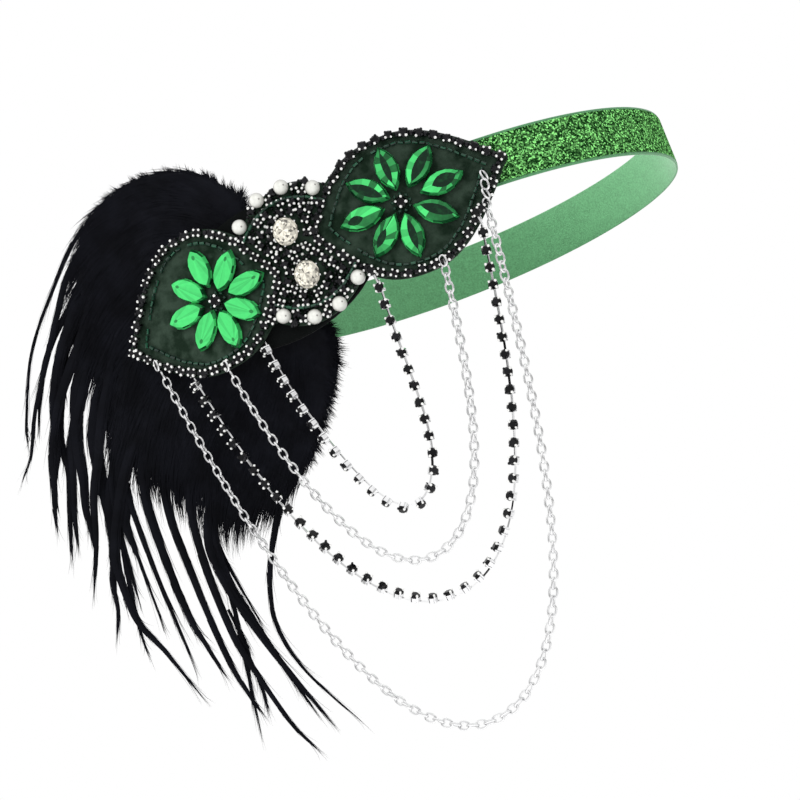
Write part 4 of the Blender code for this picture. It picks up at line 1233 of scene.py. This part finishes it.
def make_cups(number, strand, turns, above, settings, rng):
    """Make a string of black stones in silver cups, joined by thin bars and turned as they hang.

    One more cup lies on the right leaf's border, above the point that the string hangs from.
    """
    count = round(strand.length / CUP_PITCH)
    fine, cup_reach = 14, 3
    route = Route(strand, count, fine)
    width, bar_half = settings.strand_stone, 0.00048
    dark_bar_share, dark_bars_from, dark_bars_to = 0.3, 0.5, 0.86
    shape = Shape()
    facings = []
    for place in range(count):
        index = place * fine + fine // 2
        turn = math.radians(table_value(turns, (place + 0.5) / count)) + rng.uniform(-0.14, 0.14)
        facings.append(route.outward(index, turn))
        # One claw tip in five, at random, is painted black as shade; the others take the painted highlight
        cut = claw_stone(width, 0.0034, 0.62, rng, 0.105, 0.8)
        shape.stamp(cut, route.matrix(index, facings[-1], 0.00105))
    for place in range(count + 1):
        first = 0 if place == 0 else (place - 1) * fine + fine // 2 + cup_reach
        last = count * fine if place == count else place * fine + fine // 2 - cup_reach
        out = facings[min(place, count - 1)]
        bar = []
        for index in (first, (first + last) // 2, last):
            side = out.cross(route.tangent(index)).normalized()
            bar += diamond(route.points[index] - 0.0007 * out, bar_half * side, bar_half * 0.8 * out)
        # Some bars, between half and most of the way down, are drawn black
        is_dark_bar = dark_bars_from < place / count < dark_bars_to and rng.random() < dark_bar_share
        shape.add(bar, loft_faces(3, 4), 1 if is_dark_bar else 0, 0.0)
    along = leaf_along(RIGHT_LEAF, strand.right_share)
    matrix = applique_matrix(
        along - 0.0006, felt_bottom(along) + above, ON_FELT + 0.0022, math.radians(98))
    shape.stamp(claw_stone(width, 0.0028, 0.62, rng, 0.105, 0.8), matrix)
    bar = bugle(CUP_PITCH - width + 0.0008, bar_half, rng)
    shape.stamp(bar, matrix @ Matrix.Translation((-CUP_PITCH / 2, 0.0, 0.0006)))
    shape.to_piece(
        "strand_%d_cup_string" % number, STONE_SLOTS, "silver_metal", "strand_%d_cups" % number)


def make_jump_rings():
    """Make the rings that sew the strands to the felt's edge."""
    steps, sides = 18, 6
    radius, wire = 0.0014, 0.00026
    shape = Shape()
    places = [(RIGHT_LEAF, strand.right_share) for strand in (STRAND_4, STRAND_3, STRAND_2)]
    places += [(LEFT_LEAF, strand.left_share) for strand in (STRAND_2, STRAND_3, STRAND_4)]
    for leaf, share in places:
        along = leaf_along(leaf, share)
        middle = applique_matrix(along, felt_bottom(along) + 0.0010, FELT_FRONT + 0.0010)
        points = []
        for angle in circle(steps):
            outward = polar(angle, 0.45, 1.0, 0.6 * math.cos(angle))
            points += [
                middle @ (outward * radius + wire * (
                    math.cos(turn) * outward + math.sin(turn) * Vector((0.8, 0, -0.6))))
                for turn in circle(sides)]
        shape.add(points, loft_faces(steps, sides, closed=True))
    shape.to_piece("jump_rings", ("silver",), "silver_metal", smooth=60)


# Plume


def plume_front(x, z):
    """Return the depth of the plume's front: it follows the applique, then runs on straight."""
    bend = max(x, PLUME_STRAIGHT_FROM)
    y = APPLIQUE_RADIUS - LOOP_DEPTH / 2 - math.sqrt(PLUME_RADIUS ** 2 - bend ** 2)
    if x < PLUME_STRAIGHT_FROM:
        slope = abs(PLUME_STRAIGHT_FROM) / math.sqrt(PLUME_RADIUS ** 2 - PLUME_STRAIGHT_FROM ** 2)
        y += (PLUME_STRAIGHT_FROM - x) * slope
    below = min(max((PLUME_SETBACK_TOP - z) / PLUME_SETBACK_HEIGHT, 0.0), 1.0)
    return y + PLUME_SETBACK * below * below * (3 - 2 * below)


def mass_row(z):
    """Return the left edge, right edge and depth of the dense mass at a height."""
    for upper, lower in zip(PLUME_MASS, PLUME_MASS[1:]):
        if z >= lower.up:
            share = max((upper.up - z) / (upper.up - lower.up), 0.0)
            return tuple(a + (b - a) * share for a, b in zip(upper[1:], lower[1:]))
    return PLUME_MASS[-1][1:]


def across_run(run):
    return Vector((-run.y, run.x))


def run_at(path, index):
    """Return the direction of a path at one of its points."""
    return (path[min(index + 1, len(path) - 1)] - path[max(index - 1, 0)]).normalized()


def make_plume_mass():
    """Loft the dense mass of the plume, with a combed surface."""
    levels, sides = 90, 64
    top, bottom = PLUME_MASS[0].up, PLUME_MASS[-1].up
    points = []
    for level in range(levels + 1):
        z = top + (bottom - top) * level / levels
        left, right, depth = mass_row(z)
        for angle in circle(sides):
            x = (left + right) / 2 + (right - left) / 2 * math.cos(angle)
            bulge = math.copysign(math.sqrt(abs(math.sin(angle))), math.sin(angle))
            comb = 0.0007 * noise.noise(Vector((x * 500 + z * 260, z * 90 - x * 60, bulge)))
            y = plume_front(x, z) + depth / 2 * (1 + bulge) + comb + UNDER_FRONT
            points.append(Vector((x, y, z)))
    shape = Shape(points, loft_faces(levels + 1, sides))
    shape.to_piece("plume_mass", ("feather",), "black_feather", "feather_plume", 60, outwards=True)


class Flow:
    """A lookup from a place in the plume to the way that its barbs run there."""

    def __init__(self):
        samples = []
        for places in FLOW_LINES + [plumelet.places for plumelet in PLUMELETS]:
            line = smooth_path(places)
            for before, after in zip(line, line[1:]):
                samples.append(((before + after) / 2, (after - before).normalized()))
        self.directions = [direction for _, direction in samples]
        self.tree = KDTree(len(samples))
        for index, (place, _) in enumerate(samples):
            self.tree.insert((place.x, 0.0, place.y), index)
        self.tree.balance()

    def at(self, place):
        total = Vector((0.0, 0.0))
        for _, index, distance in self.tree.find_n((place.x, 0.0, place.y), 6):
            total += self.directions[index] / (distance + 0.003)
        return total.normalized()


def add_barb(shape, places, depths, width):
    """Add a thin tapering strip through places right of the origin and up, at given depths."""
    last = len(places) - 1
    points = []
    for step, (place, depth) in enumerate(zip(places, depths)):
        half = width / 2 * (1 - (step / last) ** 1.5) * across_run(run_at(places, step))
        y = plume_front(place.x, place.y) + depth
        if step < last:
            points.append(Vector((place.x + half.x, y, place.y + half.y)))
        points.append(Vector((place.x - half.x, y, place.y - half.y)))
    corners = range(0, 2 * (last - 1), 2)
    faces = [(corner, corner + 1, corner + 3, corner + 2) for corner in corners]
    shape.add(points, faces + [(2 * last - 2, 2 * last - 1, 2 * last)])


def make_barbs(flow, settings, rng):
    """Comb barbs over both faces of the mass, following the flow."""
    steps = 6
    for name, outward in (("plume_barbs_front", -1), ("plume_barbs_back", 1)):
        shape = Shape()
        for _ in range(settings.barbs):
            z = rng.uniform(PLUME_MASS[-1].up, PLUME_MASS[0].up)
            left, right, depth = mass_row(z)
            place = Vector((rng.uniform(left, right), z))
            length = rng.uniform(0.010, 0.022)
            lift = rng.uniform(-0.0003, 0.0010)
            sway = rng.uniform(-0.22, 0.22)
            across = abs(2 * (place.x - left) / (right - left) - 1)
            rounding = depth / 2 * (1 - math.sqrt(max(1 - across ** 4, 0.0)))
            surface = (rounding if outward < 0 else depth - rounding) + UNDER_FRONT
            places = [place]
            for step in range(1, steps + 1):
                direction = flow.at(places[-1])
                direction.rotate(Matrix.Rotation(sway * (step / steps) ** 2, 2))
                places.append(places[-1] + direction * length / steps)
            depths = [surface + outward * lift * step / steps for step in range(steps + 1)]
            add_barb(shape, places, depths, rng.uniform(0.00025, 0.00055))
        shape.to_piece(name, ("feather",), "black_feather")


def outline_point(rng):
    """Return a place on the mass's outline, the direction out of it and the depth there."""
    if rng.random() < 0.25:
        row = PLUME_MASS[0] if rng.random() < 0.6 else PLUME_MASS[-1]
        outward = Vector((0.0, 1.0 if row is PLUME_MASS[0] else -1.0))
        return Vector((rng.uniform(row.left, row.right), row.up)), outward, row.depth
    z = PLUME_MASS[0].up + (PLUME_MASS[-1].up - PLUME_MASS[0].up) * rng.random()
    near = 0.002
    row, below, above = mass_row(z), mass_row(z - near), mass_row(z + near)
    is_left = rng.random() < 0.4
    edge = 0 if is_left else 1
    outward = across_run(Vector((below[edge] - above[edge], -2 * near)).normalized())
    return Vector((row[edge], z)), -outward if is_left else outward, row[2]


def make_fluff(flow, settings, rng):
    """Make the soft fibres that stand out round the mass, in tufts."""
    tuft_size, steps = 9, 4
    shape = Shape()
    for _ in range(settings.fluff // tuft_size):
        edge, outward, depth = outline_point(rng)
        stands_out = rng.uniform(0.5, 1.3) if outward.x > 0.2 and outward.y < 0.5 else rng.uniform(0.1, 0.7)
        tuft = (outward * stands_out + flow.at(edge) * rng.uniform(0.5, 1.2)).normalized()
        tip = edge + tuft * rng.uniform(0.0028, 0.0064) * (1.5 if outward.y < -0.9 else 1.0)
        bend = rng.uniform(-0.5, 0.5)
        for _ in range(tuft_size):
            root = edge + across_run(outward) * rng.uniform(-0.0014, 0.0014)
            places = [root - outward * rng.uniform(0.001, 0.003)]
            reach = tip + random_vector(rng, 2) * 0.0009 - places[0]
            direction = reach.normalized()
            direction.rotate(Matrix.Rotation(-bend / 2, 2))
            length = reach.length * rng.uniform(0.6, 1.1)
            for _ in range(steps):
                direction.rotate(Matrix.Rotation(bend / steps, 2))
                places.append(places[-1] + direction * length / steps)
            back = rng.uniform(0.2, 0.8) * depth + UNDER_FRONT
            add_barb(shape, places, [back] * (steps + 1), rng.uniform(0.00022, 0.00046))
    shape.to_piece("plume_fluff", ("feather",), "black_feather")


# A long feather's width along its length, both as shares
PLUMELET_WIDTHS = ((0.0, 0.9), (0.25, 1.2), (0.55, 0.90), (0.80, 0.56), (0.93, 0.28), (1.0, 0.02))


def make_plumelets(rng):
    """Make the long pointed feathers: a ridged core each, with barbs that lie along it."""
    core, hairs = Shape(), Shape()
    for plumelet in PLUMELETS:
        path = smooth_path(plumelet.places)
        last = len(path) - 1
        points = []
        for step, place in enumerate(path):
            ragged = 1 + 0.10 * noise.noise(Vector((place.x * 600, place.y * 600, plumelet.width * 9000)))
            half = plumelet.width / 2 * table_value(PLUMELET_WIDTHS, step / last) * 0.86 * ragged
            side = across_run(run_at(path, step)) * half
            middle = Vector((place.x, plume_front(place.x, place.y) + plumelet.back, place.y))
            ridge = Vector((0.0, -min(half * 0.6, 0.0006), 0.0))
            points += diamond(middle, Vector((side.x, 0.0, side.y)), ridge)
        core.add(points, loft_faces(last + 1, 4))
        for _ in range(round(75 + 17000 * plumelet.width)):
            first = rng.randint(0, last - 6)
            reach = rng.randint(5, 12)
            side = rng.uniform(-1.0, 1.0)
            spread = rng.uniform(-0.0007, 0.0010) + (0.0020 if rng.random() < 0.16 else 0.0)
            places, depths = [], []
            for step in range(reach + 1):
                index = min(first + step, last)
                run = run_at(path, index)
                half = plumelet.width / 2 * table_value(PLUMELET_WIDTHS, index / last)
                aside = side * half + math.copysign(spread, side) * (step / reach) ** 2
                beyond = 0.0012 * max(first + step - last, 0)
                places.append(path[index] + across_run(run) * aside + run * beyond)
                depths.append(plumelet.back + rng.uniform(-0.0002, 0.0002) - 0.0004)
            add_barb(hairs, places, depths, rng.uniform(0.00014, 0.00032))
    core.to_piece("plume_long_feathers", ("feather",), "black_feather", smooth=60)
    hairs.to_piece("plume_long_barbs", ("feather",), "black_feather")


# Stage


def link_object(name, data, place):
    obj = bpy.data.objects.new(name, data)
    obj.location = place
    bpy.context.scene.collection.objects.link(obj)
    return obj


def make_camera(settings):
    """Stand the camera where the picture was taken from, turned about its view."""
    distance, below = 1.503, math.radians(14.0)
    view_up, view_aside = math.radians(11.803988), math.radians(-1.7375147)
    data = bpy.data.cameras.new("camera")
    data.lens, data.sensor_width = settings.lens, 36.0
    data.clip_start, data.clip_end = 0.1, 20.0
    camera = link_object("camera", data, (0.0, -distance * math.cos(below), -distance * math.sin(below)))
    direction = Vector((
        math.sin(view_aside) * math.cos(view_up), math.cos(view_aside) * math.cos(view_up),
        math.sin(view_up)))
    turn = direction.to_track_quat("-Z", "Y").to_matrix().to_4x4() @ Matrix.Rotation(settings.roll, 4, "Z")
    camera.rotation_euler = turn.to_euler()
    bpy.context.scene.camera = camera


def make_world():
    """Light the object softly from a bright ceiling down to a dim floor, and show plain white."""
    world = bpy.data.worlds.new("studio")
    bpy.context.scene.world = world
    world.use_nodes = True
    world.node_tree.nodes.clear()
    world.cycles.sampling_method = "NONE"
    add_nodes(world.node_tree, (
        ("place", "ShaderNodeTexCoord", {}),
        ("split", "ShaderNodeSeparateXYZ", {"Vector": "place.Generated"}),
        ("level", "ShaderNodeMapRange", {"From Min": -1.0, "From Max": 1.0, "Value": "split.Z"}),
        ("seen", "ShaderNodeValToRGB", {
            "stops": ((0.0, 0.45), (0.38, 0.60), (0.55, 0.95), (0.72, 1.1), (1.0, 1.3)),
            "Fac": "level.Result"}),
        ("mirrored", "ShaderNodeValToRGB", {
            "stops": ((0.0, 0.01), (0.34, 0.06), (0.44, 0.28), (0.56, 0.60), (0.80, 1.1)),
            "Fac": "level.Result"}),
        ("rays", "ShaderNodeLightPath", {}),
        ("pick", "ShaderNodeMix", {
            "data_type": "RGBA", "Factor": "rays.Is Glossy Ray", "A": "seen.Color", "B": "mirrored.Color"}),
        ("studio", "ShaderNodeBackground", {"Color": "pick.Result"}),
        ("white", "ShaderNodeBackground", {"Color": (1, 1, 1, 1)}),
        ("mix", "ShaderNodeMixShader", {
            0: "rays.Is Camera Ray", 1: "studio.Background", 2: "white.Background"}),
        ("output", "ShaderNodeOutputWorld", {"Surface": "mix.Shader"})))


def make_light(name, place, size, power):
    data = bpy.data.lights.new(name, "AREA")
    data.shape, data.size, data.energy = "DISK", size, power
    light = link_object(name, data, place)
    target = Vector((-0.03, -0.06, -0.03))
    light.rotation_euler = (target - light.location).to_track_quat("-Z", "Y").to_euler()
    light.visible_glossy = False


def make_floor():
    mesh = bpy.data.meshes.new("floor")
    half = 6.0
    corners = [(x, y, 0) for x, y in ((-half, -half), (half, -half), (half, half), (-half, half))]
    mesh.from_pydata(corners, [], [(0, 1, 2, 3)])
    mesh.materials.append(new_material("pale_floor", {"Base Color": (0.8, 0.8, 0.8, 1), "Roughness": 0.9}))
    link_object("floor", mesh, (0.0, 0.0, -0.9))


# Operators


class HeadbandOperator:
    """What the headband's operators share."""

    bl_options = {"REGISTER", "UNDO"}

    def execute(self, context):
        self.make(context.scene)
        return {"FINISHED"}


class HEADBAND_OT_ribbon(HeadbandOperator, bpy.types.Operator):
    """Make the glitter and velvet ribbon loop"""

    bl_idname, bl_label = "headband.ribbon", "Ribbon"

    def make(self, scene):
        make_ribbon(scene.headband_ribbon)


class HEADBAND_OT_felt(HeadbandOperator, bpy.types.Operator):
    """Make the felt backing and the patch behind it"""

    bl_idname, bl_label = "headband.felt", "Felt"

    def make(self, scene):
        rng = random.Random(2)
        make_felt("felt_leaves", "felt_backing", "felt", rng)
        make_felt("felt_patch", "feather_patch", "patch", rng)


class HEADBAND_OT_leaves(HeadbandOperator, bpy.types.Operator):
    """Make both leaves' stone borders, bugle beads and flowers"""

    bl_idname, bl_label = "headband.leaves", "Leaves"

    def make(self, scene):
        rng = random.Random(7)
        for side, leaf, flower in (("left", LEFT_LEAF, LEFT_FLOWER), ("right", RIGHT_LEAF, RIGHT_FLOWER)):
            make_edging(side, leaf, scene.headband_stones, rng)
            make_bugles(side, leaf, scene.headband_stones, rng)
            make_flower(side, flower, rng)


class HEADBAND_OT_medallion(HeadbandOperator, bpy.types.Operator):
    """Make the medallion's stones, beads, clear stones and pearls"""

    bl_idname, bl_label = "headband.medallion", "Medallion"

    def make(self, scene):
        rng = random.Random(11)
        make_medallion(scene.headband_stones, rng)
        make_clear_stones(rng)
        make_pearls()


class HEADBAND_OT_strands(HeadbandOperator, bpy.types.Operator):
    """Make the two chains and the two strings of cup-set stones"""

    bl_idname, bl_label = "headband.strands", "Strands"

    def make(self, scene):
        rng = random.Random(5)
        make_cups(1, STRAND_1, STRAND_1_TURNS, 0.0022, scene.headband_stones, rng)
        make_chain(2, STRAND_2, (1, 1), scene.headband_strands, rng)
        make_cups(3, STRAND_3, STRAND_3_TURNS, 0.0032, scene.headband_stones, rng)
        make_chain(4, STRAND_4, (1, 4), scene.headband_strands, rng)
        make_jump_rings()


class HEADBAND_OT_plume(HeadbandOperator, bpy.types.Operator):
    """Make the plume: its mass, barbs, fluff and long feathers"""

    bl_idname, bl_label = "headband.plume", "Plume"

    def make(self, scene):
        rng = random.Random(3)
        flow = Flow()
        make_plume_mass()
        make_barbs(flow, scene.headband_plume, rng)
        make_fluff(flow, scene.headband_plume, rng)
        make_plumelets(rng)


class HEADBAND_OT_stage(HeadbandOperator, bpy.types.Operator):
    """Set up the camera, the lights, the world and the floor"""

    bl_idname, bl_label = "headband.stage", "Stage"

    def make(self, scene):
        settings = scene.headband_stage
        scene.view_settings.view_transform = "Standard"
        make_camera(settings)
        make_world()
        make_light("key", (-0.6, -1.6, 0.9), 0.9, settings.key_power)
        make_light("fill", (-1.3, -0.8, 0.25), 0.7, settings.key_power * 0.8)
        make_light("side", (-0.9, 0.25, 0.42), 0.5, settings.key_power * 1.9)
        make_floor()


OPERATORS = (
    HEADBAND_OT_stage, HEADBAND_OT_ribbon, HEADBAND_OT_felt, HEADBAND_OT_leaves, HEADBAND_OT_medallion,
    HEADBAND_OT_strands, HEADBAND_OT_plume)


class HEADBAND_PT_panel(bpy.types.Panel):
    """The headband's pieces and their settings"""

    bl_label = "Feather Headband"
    bl_space_type = "VIEW_3D"
    bl_region_type = "UI"
    bl_category = "Headband"

    def draw(self, context):
        for operator in OPERATORS:
            self.layout.operator(operator.bl_idname)
        for name, group in SETTINGS.items():
            box = self.layout.box()
            for setting in group.__annotations__:
                box.prop(getattr(context.scene, name), setting)


CLASSES = (*SETTINGS.values(), *OPERATORS, HEADBAND_PT_panel)


def register():
    for each in CLASSES:
        bpy.utils.register_class(each)
    for name, group in SETTINGS.items():
        setattr(bpy.types.Scene, name, bpy.props.PointerProperty(type=group))


def unregister():
    for name in SETTINGS:
        delattr(bpy.types.Scene, name)
    for each in reversed(CLASSES):
        bpy.utils.unregister_class(each)


def main():
    register()
    for operator in OPERATORS:
        family, name = operator.bl_idname.split(".")
        getattr(getattr(bpy.ops, family), name)()


if __name__ == "__main__":
    main()
